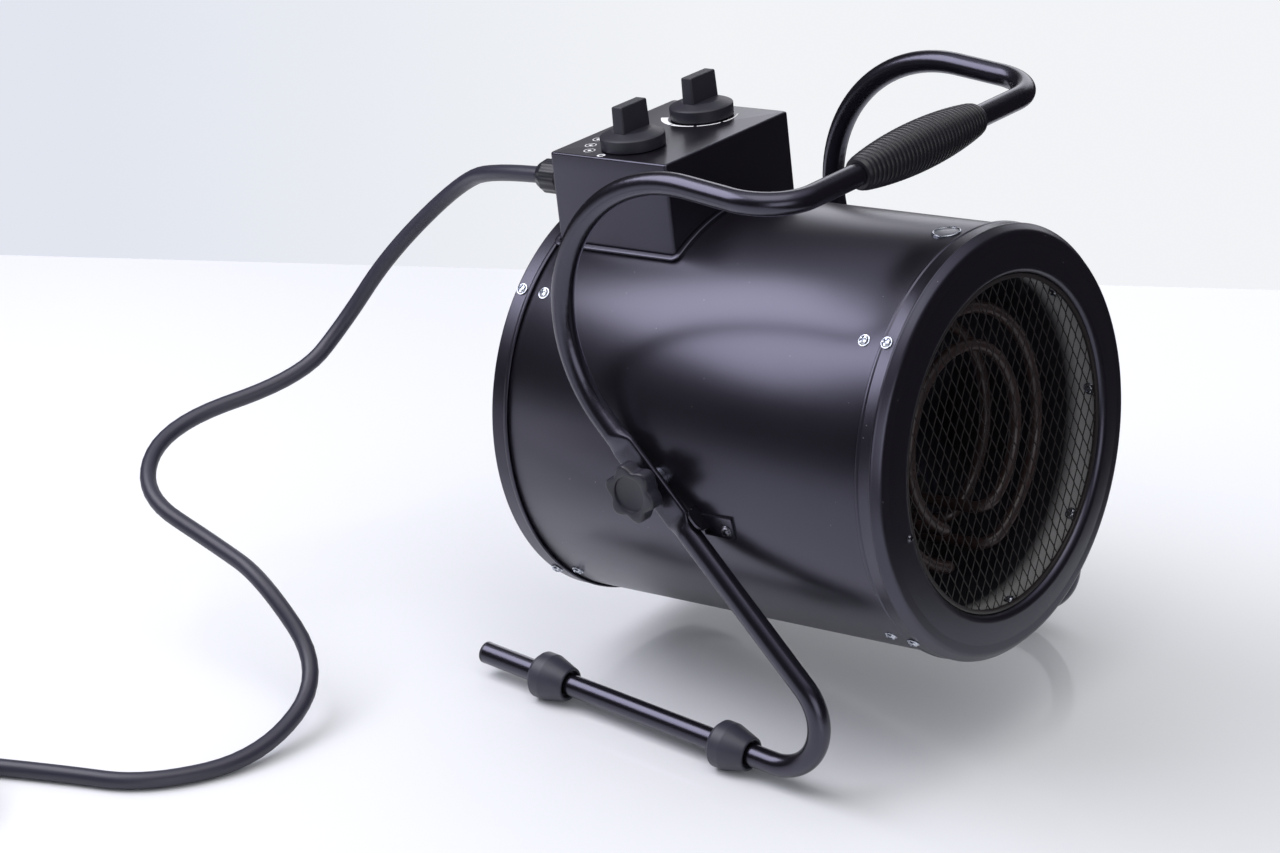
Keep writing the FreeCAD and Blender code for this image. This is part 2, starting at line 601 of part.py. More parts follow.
# ---------------------------------------------------------------- screws
def screw(seat, inwards=False):
    """Pan-head sheet-metal screw that points down, or up, at the given height."""
    head, rise, shank, reach = (size(name) for name in ("screw_head", "screw_rise", "screw_shank",
                                                        "screw_reach"))
    flip = -1 if inwards else 1
    up = Z * flip
    pieces = [Part.makeCylinder(head, 0.8, Vector(0, 0, seat), up),
              Part.makeCylinder(0.75 * head, rise, Vector(0, 0, seat), up),
              Part.makeCylinder(shank, reach, Vector(0, 0, seat), up * -1)]
    return fused(pieces)


def screw_row(seat, x, count, first, inwards=False):
    """Screws evenly spaced around the drum at one distance along it."""
    one = screw(seat, inwards)
    one.translate(X * x)
    return around(one, count, first)


case_radius, band_radius = size("case_radius"), size(collar_radius)
add_shape("case_screws", group(
    screw_row(case_radius, size("front_end - front_screw"), 4, 45)
    + screw_row(band_radius, size("front_end - band_screw"), 4, 45)
    + screw_row(case_radius, size("rear_screw - rear_end"), 4, 45)
    + screw_row(band_radius, size("ring_screw - rear_end"), 4, 45)))
add_shape("liner_screws", group(
    screw_row(size(f"{liner_radius} - liner_wall"), size(f"{liner_front} - 5"), 8, 0, inwards=True)))

# ---------------------------------------------------------------- stand: tube, grip, feet, caps
def side_corners():
    """Foot end, foot-to-arm corner, arm-to-top corner and handle corner of the left half."""
    side, drop, rise = -size("arm_side"), size("foot_drop"), size("handle_rise")
    slope = math.tan(math.radians(size("arm_angle")))
    return (Vector(-size("foot_back"), side, -drop), Vector(drop / slope, side, -drop),
            Vector(-rise / slope, side, rise), Vector(size("handle_front"), side, rise))


def flat_outline(along, width, thickness, round_bar=False):
    """Section across the arm: the tube's circle, or its squashed form, as four sides."""
    angle = math.radians(size("arm_angle"))
    down = Vector(math.cos(angle), 0, -math.sin(angle))
    across = Vector(math.sin(angle), 0, math.cos(angle))
    centre = down * along - Y * size("arm_side")
    if round_bar:
        u = v = width / math.sqrt(2)
        tip, face = width, thickness
    else:
        u, v, tip, face = width - thickness, thickness, width, thickness
    corners = [centre + across * (u * a) + Y * (v * b) for a, b in ((1, 1), (1, -1), (-1, -1), (-1, 1))]
    middles = [centre + across * tip, centre - Y * face, centre - across * tip, centre + Y * face]
    sides = []
    for index, middle in enumerate(middles):
        start, end = corners[index], corners[(index + 1) % 4]
        straight = not round_bar and index % 2 == 1
        curve = Part.LineSegment(start, end) if straight else Part.Arc(start, middle, end)
        sides.append(curve.toShape())
    return Part.Wire(sides)


def stand_half():
    """Left half of the bent tube, squashed flat where the pivot screw goes through it."""
    radius, inner = size("tube_radius"), size("tube_radius - tube_wall")
    half, fade = size("flat_half"), size("flat_fade")
    foot, low, high, corner = side_corners()
    middle = Vector(corner.x, -0.05, corner.z)
    angle = math.radians(size("arm_angle"))
    down = Vector(math.cos(angle), 0, -math.sin(angle))
    centre = Vector(0, -size("arm_side"), 0)
    lower_end, upper_end = centre + down * (half + fade), centre - down * (half + fade)
    routes = (([foot, low, lower_end], [size("front_bend")]),
              ([upper_end, high, corner, middle], [size("top_bend"), size("corner_bend")]))
    tubes = [bent_rod(route, bends, radius)[0].cut(bent_rod(route, bends, inner)[0]) for route,
             bends in routes]
    width, wall = size("flat_height") / 2, size("flat_wall") / 2
    fades = [Part.makeLoft([flat_outline(end * (half + fade), radius, radius, round_bar=True),
                            flat_outline(end * half, width, wall)], True, True) for end in (1, -1)]
    flat = Part.makeLoft([flat_outline(-half, width, wall), flat_outline(half, width, wall)], True, True)
    hole = Part.makeCylinder(size("pivot_hole"), 20, centre - Y * 10, Y)
    return fused(tubes + fades + [flat]).cut(hole)


left_half = stand_half()
add_shape("left_stand_tube", left_half, STAND)
add_shape("right_stand_tube", mirrored(left_half), STAND)

grip_bow = "(grip_middle - grip_end)"
turned("handle_grip", [("-grip_half", "tube_radius + 0.05"), ("-grip_half", "grip_end"),
                       ("grip_half", "grip_end"), ("grip_half", "tube_radius + 0.05")],
       arcs=((1, f"(grip_half^2 + {grip_bow}^2) / (2 * {grip_bow})"),), frame=STAND, about="Y",
       at=Vector(size("handle_front"), 0, size("handle_rise")))

for side, side_name in ((-1, "left"), (1, "right")):
    foot_line = Vector(0, side * size("arm_side"), -size("foot_drop"))
    for end_name, station in (("rear", "-rear_foot"), ("front", "front_foot")):
        name = f"{side_name}_{end_name}_foot"
        turned(name, [("-foot_length / 2", "tube_radius + 0.05"), ("-foot_length / 2", "foot_radius"),
                      ("foot_straight - foot_length / 2", "foot_radius"), ("foot_length / 2", "foot_nose"),
                      ("foot_length / 2", "tube_radius + 0.05")],
               frame=STAND, at=foot_line + X * size(station))
        bush = subparts[name][0]
        outline = sketch_on(bush, name + "_sole", "XZ_Plane", [
            ("-foot_length", "foot_flat - foot_radius"), ("foot_length", "foot_flat - foot_radius"),
            ("foot_length", "-foot_radius - 1"), ("-foot_length", "-foot_radius - 1")])
        sole = bush.newObject("PartDesign::Pocket", name + "_flat")
        sole.Profile = outline
        sole.Length = 2 * size("foot_radius") + 4
        sole.setExpression("Length", bound("2 * foot_radius + 4"))
        sole.Midplane = True
    plug = "tube_radius - tube_wall - 0.02"
    turned(f"{side_name}_tube_cap",
           [("-cap_wall", "0"), ("-cap_wall", "tube_radius - 1"), ("1 - cap_wall", "tube_radius"),
                                     ("-0.05", "tube_radius"), ("-0.05", plug), ("cap_depth", plug),
                                     ("cap_depth", "0")],
           frame=STAND, at=foot_line - X * size("foot_back"))

# ---------------------------------------------------------------- pivots, star knobs and stops
def star_knob(face, out):
    """Round hand knob with lobes on a neck, bored for its stud."""
    count, lobe, neck = int(size("star_lobes")), size("lobe_radius"), size("neck_height")
    height, spread = size("star_height"), size("star_radius - lobe_radius")
    head = out * (face + neck)
    pieces = [Part.makeCylinder(spread + 1.5, height, head, out),
              Part.makeCylinder(size("star_neck"), neck + 1, out * face, out)]
    for index in range(count):
        turn = 2 * math.pi * index / count
        spot = Vector(spread * math.cos(turn), 0, spread * math.sin(turn))
        pieces.append(Part.makeCylinder(lobe, height, head + spot, out))
    return fused(pieces).cut(Part.makeCylinder(size("stud_radius") + 0.02, neck + height - 3.9, out * face,
                                               out))


arm_face = "(arm_side - flat_wall / 2 - pivot_gap)"
knob_face = "(arm_side + flat_wall / 2 + pivot_gap)"
for side, side_name in ((-1, "left"), (1, "right")):
    out = Y * side

    def on_axis(name, radius, start, length):
        """Cylinder on the tilt axis that starts at a distance from the middle plane."""
        return drum(f"{side_name}_{name}", radius, length, ("0", f"{side} * {start}", "0"), out)

    nut = joined(f"{side_name}_nut_blank", [
        on_axis("nut_flange", "pivot_flange", "(case_radius + 0.1)", f"{arm_face} - case_radius - 0.1"),
        on_axis("nut_sleeve", "pivot_sleeve", "(case_radius - sleeve_depth)",
                f"{arm_face} - case_radius + sleeve_depth")])
    cut(f"{side_name}_pivot_nut", nut,
        on_axis("nut_thread", "stud_radius + stud_gap", "(case_radius - 40)", "80"),
        HEATER)
    reach = size(f"{knob_face} + neck_height + star_height - 4")
    turned(f"{side_name}_knob_stud",
           [("0", "0"), ("0", "stud_radius"), ("stud_length", "stud_radius"), ("stud_length", "0")],
           about="Y", at=Vector(0, reach - size("stud_length") if side > 0 else -reach, 0))
    star = star_knob(size(knob_face), out)
    add_shape(f"{side_name}_star_knob", star)


def stop_lug():
    """Left stop: a base along the case and a tab that stands in the arm's way."""
    tilt = math.radians(size("arm_angle + rest_tilt"))
    reach, wall = size("lug_reach"), size("lug_wall")
    face = size("flat_height / 2 + lug_gap")
    spot = Vector(reach * math.cos(tilt) + face * math.sin(tilt), 0,
                  -reach * math.sin(tilt) + face * math.cos(tilt))
    base_z = spot.z - 5.0
    seat = math.sqrt(case_radius ** 2 - base_z ** 2)
    lean = math.degrees(math.atan2(-base_z, seat))
    length, half = size("lug_length") / 2, size("lug_base") / 2
    chord = math.sqrt(case_radius ** 2 - half ** 2)
    lift = case_radius + 0.1
    base = Part.makeBox(size("lug_screw") + 6 - spot.x, lift - chord + wall + 0.4, 2 * half,
                        Vector(spot.x, -lift - wall, -half))
    base = base.cut(Part.makeCylinder(lift, 300, Vector(-50, 0, 0), X))
    base.rotate(Vector(), X, lean)
    tab = Part.makeBox(2 * length, size("lug_height") + 4, wall,
                       Vector(-length, -lift - size("lug_height"), 0))
    corners = [edge for edge in tab.Edges
               if all(vertex.Point.y < -lift - 1 for vertex in edge.Vertexes)
               and abs(edge.Vertexes[0].Point.x - edge.Vertexes[1].Point.x) < 1e-6]
    tab = tab.makeFillet(min(length, size("lug_height")) * 0.8, corners)
    tab.rotate(Vector(), Y, math.degrees(tilt))
    tab.translate(Vector(spot.x, 0, spot.z))
    tab = tab.cut(Part.makeCylinder(lift, 300, Vector(-50, 0, 0), X))
    screw_shape = screw(lift + wall)
    screw_shape.rotate(Vector(), X, 90 + lean)
    screw_shape.translate(X * size("lug_screw"))
    return fused([base, tab]), screw_shape


lug, lug_screw = stop_lug()
add_shape("left_stop_lug", lug)
add_shape("right_stop_lug", mirrored(lug))
add_shape("lug_screws", group([lug_screw, mirrored(lug_screw)]))

# ---------------------------------------------------------------- free cord, coil and plug
# The route's points are in the part's own frame: out of the gland, down in a loose curl, and along the floor.
ROUTE = [Vector(*point) for point in (
    (-169.4, -50, 349.3), (-234.8, -50, 340.6), (-295, -22, 309), (-347, -46, 247), (-377, -65, 190),
    (-386, -106, 155), (-440, -198, 134), (-404, -262, 112), (-331, -256, 90), (-280, -262, 82),
    (-213, -270, 30), (-195, -355, 6.3), (-232, -430, 6.3), (-288, -455, 6.3), (-343, -483, 6.3),
    (-392, -507, 6.3))]
SPLIT = 6
COIL_CENTRE, COIL_MIDDLE, COIL_HEIGHT = Vector(-364, -566, 0), 66.0, 36.0
TAIL_START, TAIL_END = Vector(-393.7, -507.3, 33.5), Vector(-460.7, -541.1, 33.5)


def route_bends(points):
    """Largest arc that each corner's two runs leave room for."""
    bends = []
    for before, corner, after in zip(points, points[1:], points[2:]):
        first, second = corner - before, after - corner
        half = first.getAngle(second) / 2
        bends.append(0.45 * min(first.Length, second.Length) / math.tan(half))
    return bends


def cord_piece(name, points, bends):
    """Tube of the cord's diameter along some of the route, with a check of its volume."""
    radius = size("cord_radius")
    shape, length = bent_rod(points, bends, radius)
    ideal = math.pi * radius ** 2 * length
    print(f"{name}: {length:.1f} mm, arcs {[round(bend) for bend in bends]}, "
          f"volume {shape.Volume / ideal:.4f} of section times length")
    add_shape(name, shape, CORD)


bends = route_bends(ROUTE)
cut_point = (ROUTE[SPLIT - 1] + ROUTE[SPLIT]) / 2
cut_gap = (ROUTE[SPLIT] - ROUTE[SPLIT - 1]).normalize() * 0.5
cord_piece("cord_upper", ROUTE[:SPLIT] + [cut_point - cut_gap], bends[:SPLIT - 1])
cord_piece("cord_lower", [cut_point + cut_gap] + ROUTE[SPLIT:], bends[SPLIT - 1:])
coil_half = size("cord_radius") + 0.5
coil_ring = Part.makeCylinder(COIL_MIDDLE + coil_half, COIL_HEIGHT, COIL_CENTRE + Z * 0.2)
add_shape("cord_coil", coil_ring.cut(Part.makeCylinder(COIL_MIDDLE - coil_half, 2 * COIL_HEIGHT,
                                                       COIL_CENTRE)), CORD)
cord_piece("cord_tail", [TAIL_START, TAIL_END], [])

plug_line = Vector(TAIL_END.x - TAIL_START.x, TAIL_END.y - TAIL_START.y, 0).normalize()


def plug_turned(name, profile, bore=0.0):
    """Plug piece from its steps along the plug's axis: distance, radius."""
    pieces = [Part.makeCone(first_r, second_r, second - first, TAIL_END + plug_line * first, plug_line)
              if abs(first_r - second_r) > 1e-6 else
              Part.makeCylinder(first_r, second - first, TAIL_END + plug_line * first, plug_line)
              for (first, first_r), (second, second_r) in zip(profile, profile[1:]) if second > first]
    shape = fused(pieces)
    if bore:
        shape = shape.cut(Part.makeCylinder(bore, 200, TAIL_END - plug_line * 50, plug_line))
    add_shape(name, shape, CORD)


nut_radius, nut_front = size("plug_nut_radius"), size("plug_nut_length - plug_grip")
plug_turned("plug_nut", [(-size("plug_grip"), nut_radius - 4), (6 - size("plug_grip"), nut_radius - 1),
                         (nut_front, nut_radius)], bore=size("cord_radius + cord_gap"))
body_radius, body_back = size("plug_body_radius"), nut_front + size("plug_gap")
body_front = body_back + size("plug_body_length")
plug_turned("plug_body", [(body_back, body_radius - 12), (body_back + 5.8, body_radius - 6),
                          (body_back + 21.8, body_radius - 1), (body_front - 6, body_radius),
                          (body_front, size("plug_shroud_radius") - 2)])
shroud_back = body_front + size("plug_gap")
shroud_start, shroud_radius = TAIL_END + plug_line * shroud_back, size("plug_shroud_radius")
shroud = Part.makeCylinder(shroud_radius, size("plug_shroud_length"), shroud_start, plug_line)
shroud = shroud.cut(Part.makeCylinder(shroud_radius - size("plug_shroud_wall"), 200,
                                      shroud_start + plug_line * size("plug_shroud_floor"), plug_line))
add_shape("plug_shroud", shroud, CORD)
pins, pin_count = [], round(size("pin_count"))
pin_start = shroud_start + plug_line * size("plug_shroud_floor + plug_gap")
for index in range(pin_count):
    turn = math.radians(360 / pin_count * index + 90)
    across = (Vector(-plug_line.y, plug_line.x, 0) * math.cos(turn) + Z * math.sin(turn)) * size("pin_ring")
    radius = size("pin_radius" if index else "earth_pin_radius")
    pins.append(Part.makeCylinder(radius, size("pin_length"), pin_start + across, plug_line))
add_shape("plug_pins", group(pins), CORD)

# ---------------------------------------------------------------- placing, checking, writing
doc.recompute()
tilted = Placement(Vector(), Rotation(Y, -size("rest_tilt")))
for obj, frame, at in subparts.values():
    own = tilted if frame == HEATER else Placement()
    obj.Placement = own.multiply(Placement(at, Rotation()))
doc.recompute()
whole = FreeCAD.BoundBox()
for obj, frame, _ in subparts.values():
    if frame != CORD:
        whole.add(obj.Shape.optimalBoundingBox(False, False))
shift = Vector(-(whole.XMin + whole.XMax) / 2, 0, -whole.ZMin)
for obj, frame, _ in subparts.values():
    if frame != CORD:
        obj.Placement = Placement(shift, Rotation()).multiply(obj.Placement)
doc.recompute()
print("tilt axis at", tuple(round(value, 3) for value in shift), "box", whole)

faults = [obj.Name for obj in doc.Objects if {"Invalid", "Error"} & set(obj.State)]
faults += [name for name, (obj, _, _) in subparts.items() if obj.Shape.isNull() or not obj.Shape.isValid()]
if faults:
    raise RuntimeError(f"failed objects: {faults}")
for name, (obj, _, _) in subparts.items():
    obj.Shape.exportStep(f"parts/{name}.step")
print(f"{len(subparts)} sub-parts written")
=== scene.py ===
"""Studio scene of a drum fan heater on a tilting tube stand: fine shapes and finishes over the CAD frame."""
import json
import logging
import math
from dataclasses import dataclass
from enum import Enum
from typing import Iterable, Mapping, Sequence

import bmesh
import bpy
import numpy as np
from mathutils import Matrix, Vector

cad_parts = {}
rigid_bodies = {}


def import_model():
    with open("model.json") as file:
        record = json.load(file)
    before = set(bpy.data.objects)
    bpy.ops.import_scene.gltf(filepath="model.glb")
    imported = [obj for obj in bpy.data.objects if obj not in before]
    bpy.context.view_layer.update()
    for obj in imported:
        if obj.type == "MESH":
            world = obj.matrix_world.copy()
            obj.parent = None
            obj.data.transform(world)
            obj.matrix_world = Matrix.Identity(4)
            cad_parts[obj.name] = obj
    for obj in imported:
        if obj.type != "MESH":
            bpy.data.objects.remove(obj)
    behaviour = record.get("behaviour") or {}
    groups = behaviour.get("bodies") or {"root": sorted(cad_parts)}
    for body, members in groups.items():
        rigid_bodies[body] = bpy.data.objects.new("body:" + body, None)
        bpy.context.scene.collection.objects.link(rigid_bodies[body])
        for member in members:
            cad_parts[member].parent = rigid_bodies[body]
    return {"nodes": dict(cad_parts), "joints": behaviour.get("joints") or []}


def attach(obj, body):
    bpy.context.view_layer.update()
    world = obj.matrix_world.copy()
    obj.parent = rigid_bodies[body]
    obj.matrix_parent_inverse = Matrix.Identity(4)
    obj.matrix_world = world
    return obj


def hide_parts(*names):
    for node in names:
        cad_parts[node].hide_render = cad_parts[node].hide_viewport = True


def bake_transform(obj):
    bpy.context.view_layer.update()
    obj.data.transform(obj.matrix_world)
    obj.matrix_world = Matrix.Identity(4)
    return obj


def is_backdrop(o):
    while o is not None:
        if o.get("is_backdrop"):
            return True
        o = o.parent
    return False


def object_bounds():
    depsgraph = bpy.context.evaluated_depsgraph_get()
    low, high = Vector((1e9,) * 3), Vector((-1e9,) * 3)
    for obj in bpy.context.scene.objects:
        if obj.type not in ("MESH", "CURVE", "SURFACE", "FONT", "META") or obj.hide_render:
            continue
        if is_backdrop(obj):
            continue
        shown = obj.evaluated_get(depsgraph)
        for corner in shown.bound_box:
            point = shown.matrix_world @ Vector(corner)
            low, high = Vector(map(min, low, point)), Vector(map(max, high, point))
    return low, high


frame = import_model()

LOG = logging.getLogger("heater")
Colour = tuple[float, float, float]
Spot = tuple[float, float, float]
Outline = Sequence[tuple[float, float]]
CAD_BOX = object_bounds()
# The attribute that holds a cord's chart.
CHART = "sheath_chart"
# Points nearer than the first are one, and an edge shorter than the second is dropped, in metres.
WELD = 1e-6
SLIVER = 1e-7
# Half of a corner's angle, in radians, past which the corner counts as straight.
STRAIGHT = 1.56


# ---------------------------------------------------------------- shader graphs
class Wire:
    """A node socket that does arithmetic: each operator adds the Math node that it names."""

    def __init__(self, graph: "Graph", socket: "bpy.types.NodeSocket | None") -> None:
        """Keep the graph, which adds the nodes, and the socket."""
        self.graph = graph
        self.socket = socket

    def _math(self, operation: str, first: "Wire | float", second: "Wire | float" = 0.0) -> "Wire":
        """Add a Math node and return its result."""
        return self.graph.add("ShaderNodeMath", {"operation": operation}, {0: first, 1: second})

    def __add__(self, other: "Wire | float") -> "Wire":
        """Sum."""
        return self._math("ADD", self, other)

    __radd__ = __add__

    def __sub__(self, other: "Wire | float") -> "Wire":
        """Difference."""
        return self._math("SUBTRACT", self, other)

    def __rsub__(self, other: "Wire | float") -> "Wire":
        """Difference with the wire on the right."""
        return self._math("SUBTRACT", other, self)

    def __mul__(self, other: "Wire | float") -> "Wire":
        """Product."""
        return self._math("MULTIPLY", self, other)

    __rmul__ = __mul__

    def __gt__(self, other: "Wire | float") -> "Wire":
        """One where the wire is greater, else zero."""
        return self._math("GREATER_THAN", self, other)

    def __lt__(self, other: "Wire | float") -> "Wire":
        """One where the wire is less, else zero."""
        return self._math("LESS_THAN", self, other)

    def clamped(self) -> "Wire":
        """The value kept between zero and one."""
        return self.graph.add("ShaderNodeClamp", {}, {"Value": self})

    def rising(self, start: float, slope: float) -> "Wire":
        """Zero up to a start, from which it rises to one at a slope."""
        return ((self - start) * slope).clamped()

    def falling(self, end: float, slope: float) -> "Wire":
        """One until it falls at a slope, to reach zero at an end."""
        return ((end - self) * slope).clamped()


class Graph:
    """Adds nodes to one material's or world's tree."""

    def __init__(self, tree: bpy.types.NodeTree) -> None:
        """Start from an empty tree."""
        tree.nodes.clear()
        self.tree = tree

    def add(self, kind: str, settings: Mapping[str, object], sockets: Mapping[int | str, object],
            out: int | str = 0) -> Wire:
        """Add a node.

        Args:
            kind: The node's type name.
            settings: Attributes set first; "stops" holds a colour ramp's places and greys or colours.
            sockets: Values or wires for the inputs, by name or number.
            out: The output to hand back.

        Returns:
            The chosen output.
        """
        node = self.tree.nodes.new(kind)
        for name, value in settings.items():
            if name == "stops":
                self._set_stops(node.color_ramp, value)
            else:
                setattr(node, name, value)
        for name, value in sockets.items():
            if isinstance(value, Wire):
                self.tree.links.new(value.socket, node.inputs[name])
            else:
                node.inputs[name].default_value = value
        return Wire(self, node.outputs[out] if len(node.outputs) else None)

    @staticmethod
    def _set_stops(ramp: bpy.types.ColorRamp, stops: Sequence[tuple[float, Sequence[float]]]) -> None:
        """Give a colour ramp its stops.

        Args:
            ramp: The node's ramp.
            stops: Places from 0 to 1, each with its colour.
        """
        while len(ramp.elements) < len(stops):
            ramp.elements.new(1.0)
        for element, (place, colour) in zip(ramp.elements, stops):
            element.position = place
            element.color = (*colour, 1.0)

    def place(self) -> Wire:
        """Object coordinates, in metres."""
        return self.add("ShaderNodeTexCoord", {}, {}, "Object")

    def noise(self, scale: float, detail: float = 2.0, at: Wire | None = None) -> Wire:
        """Cloud-like value from 0 to 1 at about `scale` features a metre."""
        sockets = {"Vector": at or self.place(), "Scale": scale, "Detail": detail}
        return self.add("ShaderNodeTexNoise", {}, sockets)

    def ramp(self, value: Wire, *stops: tuple[float, Sequence[float]]) -> Wire:
        """Colour picked from stops by a value."""
        return self.add("ShaderNodeValToRGB", {"stops": stops}, {"Fac": value})

    def blend(self, factor: Wire | float, first: Wire | Colour, second: Wire | Colour) -> Wire:
        """Mix of two colours."""
        ends = [(*value, 1.0) if isinstance(value, tuple) else value for value in (first, second)]
        return self.add("ShaderNodeMix", {"data_type": "RGBA"}, {0: factor, 6: ends[0], 7: ends[1]}, 2)

    def bump(self, height: Wire, distance: float) -> Wire:
        """Normal that follows a height in units of distance, in metres."""
        return self.add("ShaderNodeBump", {}, {"Height": height, "Distance": distance, "Strength": 1.0})


# ---------------------------------------------------------------- finishes
@dataclass(frozen=True)
class Finish:
    """A surface finish; each kind says what varies over the surface.

    Attributes:
        name: Material name.
        colour: Base colour.
        roughness: Middle roughness.
        metallic: 0 for paint, plastic and rubber, 1 for metal.
        grain: Features a metre of the fine relief.
        relief: Height of the fine relief, in metres.
        clouds: Features a metre of the drift in roughness.
        spread: How far the roughness strays.
        specular: Specular level of what isn't metal.
        gloss_tint: Tint of its highlights seen straight on.
    """

    name: str
    colour: Colour
    roughness: float
    metallic: float = 0.0
    grain: float = 1500.0
    relief: float = 0.00002
    clouds: float = 9.0
    spread: float = 0.05
    specular: float = 0.5
    gloss_tint: Colour = (1.0, 1.0, 1.0)

    def strayed(self, cloud: Wire) -> Wire:
        """Roughness that strays either way from the middle with a cloud from 0 to 1."""
        return self.roughness + (cloud - 0.5) * (2.0 * self.spread)

    def surface(self, graph: Graph) -> dict[str, object]:
        """Sockets that vary over the surface, or that this kind adds."""
        return {"Roughness": self.strayed(graph.noise(self.clouds, 4.0)),
                "Normal": graph.bump(graph.noise(self.grain), self.relief)}

    def material(self) -> bpy.types.Material:
        """Give the finish as a material, which is made when it's first asked for.

        Returns:
            The material.
        """
        known = bpy.data.materials.get(self.name)
        if known is not None:
            return known
        made = bpy.data.materials.new(self.name)
        made.use_nodes = True
        graph = Graph(made.node_tree)
        sockets: dict[str, object] = {
            "Base Color": (*self.colour, 1.0), "Metallic": self.metallic, "Roughness": self.roughness,
            "Specular IOR Level": self.specular, "Specular Tint": (*self.gloss_tint, 1.0)}
        sockets.update(self.surface(graph))
        shader = graph.add("ShaderNodeBsdfPrincipled", {}, sockets)
        graph.add("ShaderNodeOutputMaterial", {}, {"Surface": shader})
        return made


@dataclass(frozen=True)
class PowderCoat(Finish):
    """Satin powder coat: a soft orange-peel relief and a few pale dust specks.

    Attributes:
        dust: Share of the cells that hold a speck.
        cells: Cells a metre.
        speck: Radius of a speck as a share of its cell.
        speck_share: How much a speck takes of the pale colour.
        speck_colour: The pale colour.
    """

    dust: float = 0.035
    cells: float = 260.0
    speck: float = 0.09
    speck_share: float = 0.6
    speck_colour: Colour = (0.35, 0.34, 0.36)

    def surface(self, graph: Graph) -> dict[str, object]:
        """Relief, roughness clouds, and specks where a cell's centre is near and its random value is high.

        Args:
            graph: The material's graph.

        Returns:
            The sockets that vary.
        """
        varied = super().surface(graph)
        sockets = {"Vector": graph.place(), "Scale": self.cells}
        near = graph.add("ShaderNodeTexVoronoi", {}, sockets, "Distance") < self.speck
        chance = graph.add("ShaderNodeTexVoronoi", {}, sockets, "Color")
        chosen = graph.add("ShaderNodeSeparateColor", {}, {0: chance}) > (1.0 - self.dust)
        varied["Base Color"] = graph.blend(near * chosen * self.speck_share, self.colour, self.speck_colour)
        return varied


@dataclass(frozen=True)
class Moulding(Finish):
    """Spark-eroded plastic or rubber: grain with paler worn high spots.

    Attributes:
        lift: How many times paler the high spots are.
        patches: Features a metre of the paler clouds.
    """

    lift: float = 1.6
    patches: float = 60.0

    def surface(self, graph: Graph) -> dict[str, object]:
        """Relief, roughness clouds, and a colour that is a little paler in slow clouds.

        Args:
            graph: The material's graph.

        Returns:
            The sockets that vary.
        """
        varied = super().surface(graph)
        paler = tuple(min(1.0, self.lift * part) for part in self.colour)
        varied["Base Color"] = graph.blend(graph.noise(self.patches, 5.0), self.colour, paler)
        return varied


@dataclass(frozen=True)
class Jacket(Finish):
    """Extruded rubber sheath: soft rings and scuffs along the cord, read from the distance along it.

    Attributes:
        lift: How many times paler the drawn lines are.
        drawn: Scale of the chart for the lines, round the cord and along it.
        ringed: Scale of the chart for the rings.
    """

    lift: float = 1.6
    drawn: Colour = (3.0, 3.0, 30.0)
    ringed: Colour = (0.4, 0.4, 420.0)

    def surface(self, graph: Graph) -> dict[str, object]:
        """The chart holds a point on a unit circle round the cord and the metres along it, so noise on it
        has no seam; it is stretched along the cord into drawn lines.

        Args:
            graph: The material's graph.

        Returns:
            The sockets that vary.
        """
        chart = graph.add("ShaderNodeAttribute", {"attribute_name": CHART}, {}, "Vector")
        stretched = graph.add("ShaderNodeMapping", {}, {"Vector": chart, "Scale": self.drawn})
        lines = graph.noise(1.0, 3.0, stretched)
        rings = graph.add("ShaderNodeMapping", {}, {"Vector": chart, "Scale": self.ringed})
        scuffs = graph.noise(1.0, 2.0, rings)
        paler = tuple(self.lift * part for part in self.colour)
        return {"Base Color": graph.blend(lines, self.colour, paler), "Roughness": self.strayed(lines),
                "Normal": graph.bump(lines * 0.6 + scuffs * 0.4, self.relief)}


@dataclass(frozen=True)
class Plating(Finish):
    """Plated or rolled metal: colour that drifts between two tints and a roughness that follows it.

    Attributes:
        tint: The second tint.
        drift: Features a metre of the drift.
    """

    tint: Colour = (0.62, 0.66, 0.74)
    drift: float = 140.0

    def surface(self, graph: Graph) -> dict[str, object]:
        """Tint clouds, roughness clouds and fine relief.

        Args:
            graph: The material's graph.

        Returns:
            The sockets that vary.
        """
        cloud = graph.noise(self.drift, 3.0)
        return {"Base Color": graph.blend(cloud, self.colour, self.tint), "Roughness": self.strayed(cloud),
                "Normal": graph.bump(graph.noise(self.grain), self.relief)}


@dataclass(frozen=True)
class ShadedDeepSheet(Finish):
    """Sheet darkened with painted shade everywhere but by its front edge, which stays lit, measured along the
    drum.

    Attributes:
        painted_shade: The dark colour, painted as shade deeper inside the drum.
        pivot: X and Z of the tilt axis.
        lean: How far the drum leans back, in radians.
        bright_from: Where the painted shade gives way to the lit front edge, along the drum from the pivot.
        bright_to: Where the sheet shows its own colour, free of painted shade.
    """

    # Painted shade: the liner's colour deeper inside the drum, where little light reaches.
    painted_shade: Colour = (0.02, 0.02, 0.026)
    pivot: tuple[float, float] = (-0.0098, 0.1971)
    lean: float = math.radians(7.6)
    bright_from: float = 0.158
    bright_to: float = 0.170

    def surface(self, graph: Graph) -> dict[str, object]:
        """The share of the sheet's own colour over the painted shade is the way along the drum, x cos a + z
        sin a from the pivot, past where the lit edge begins, over the width in which it grows.

        Args:
            graph: The material's graph.

        Returns:
            The sockets that vary.
        """
        varied = super().surface(graph)
        x, height = (graph.add("ShaderNodeSeparateXYZ", {}, {0: graph.place()}, axis) for axis in "XZ")
        along = (x - self.pivot[0]) * math.cos(self.lean) + (height - self.pivot[1]) * math.sin(self.lean)
        share = along.rising(self.bright_from, 1.0 / (self.bright_to - self.bright_from))
        # Painted shade deeper in the drum, fading to the sheet's own colour at the lit front edge.
        varied["Base Color"] = graph.blend(share, self.painted_shade, self.colour)
        return varied


# Tint of the powder coat's highlights.
LAVENDER: Colour = (0.77, 0.76, 1.0)


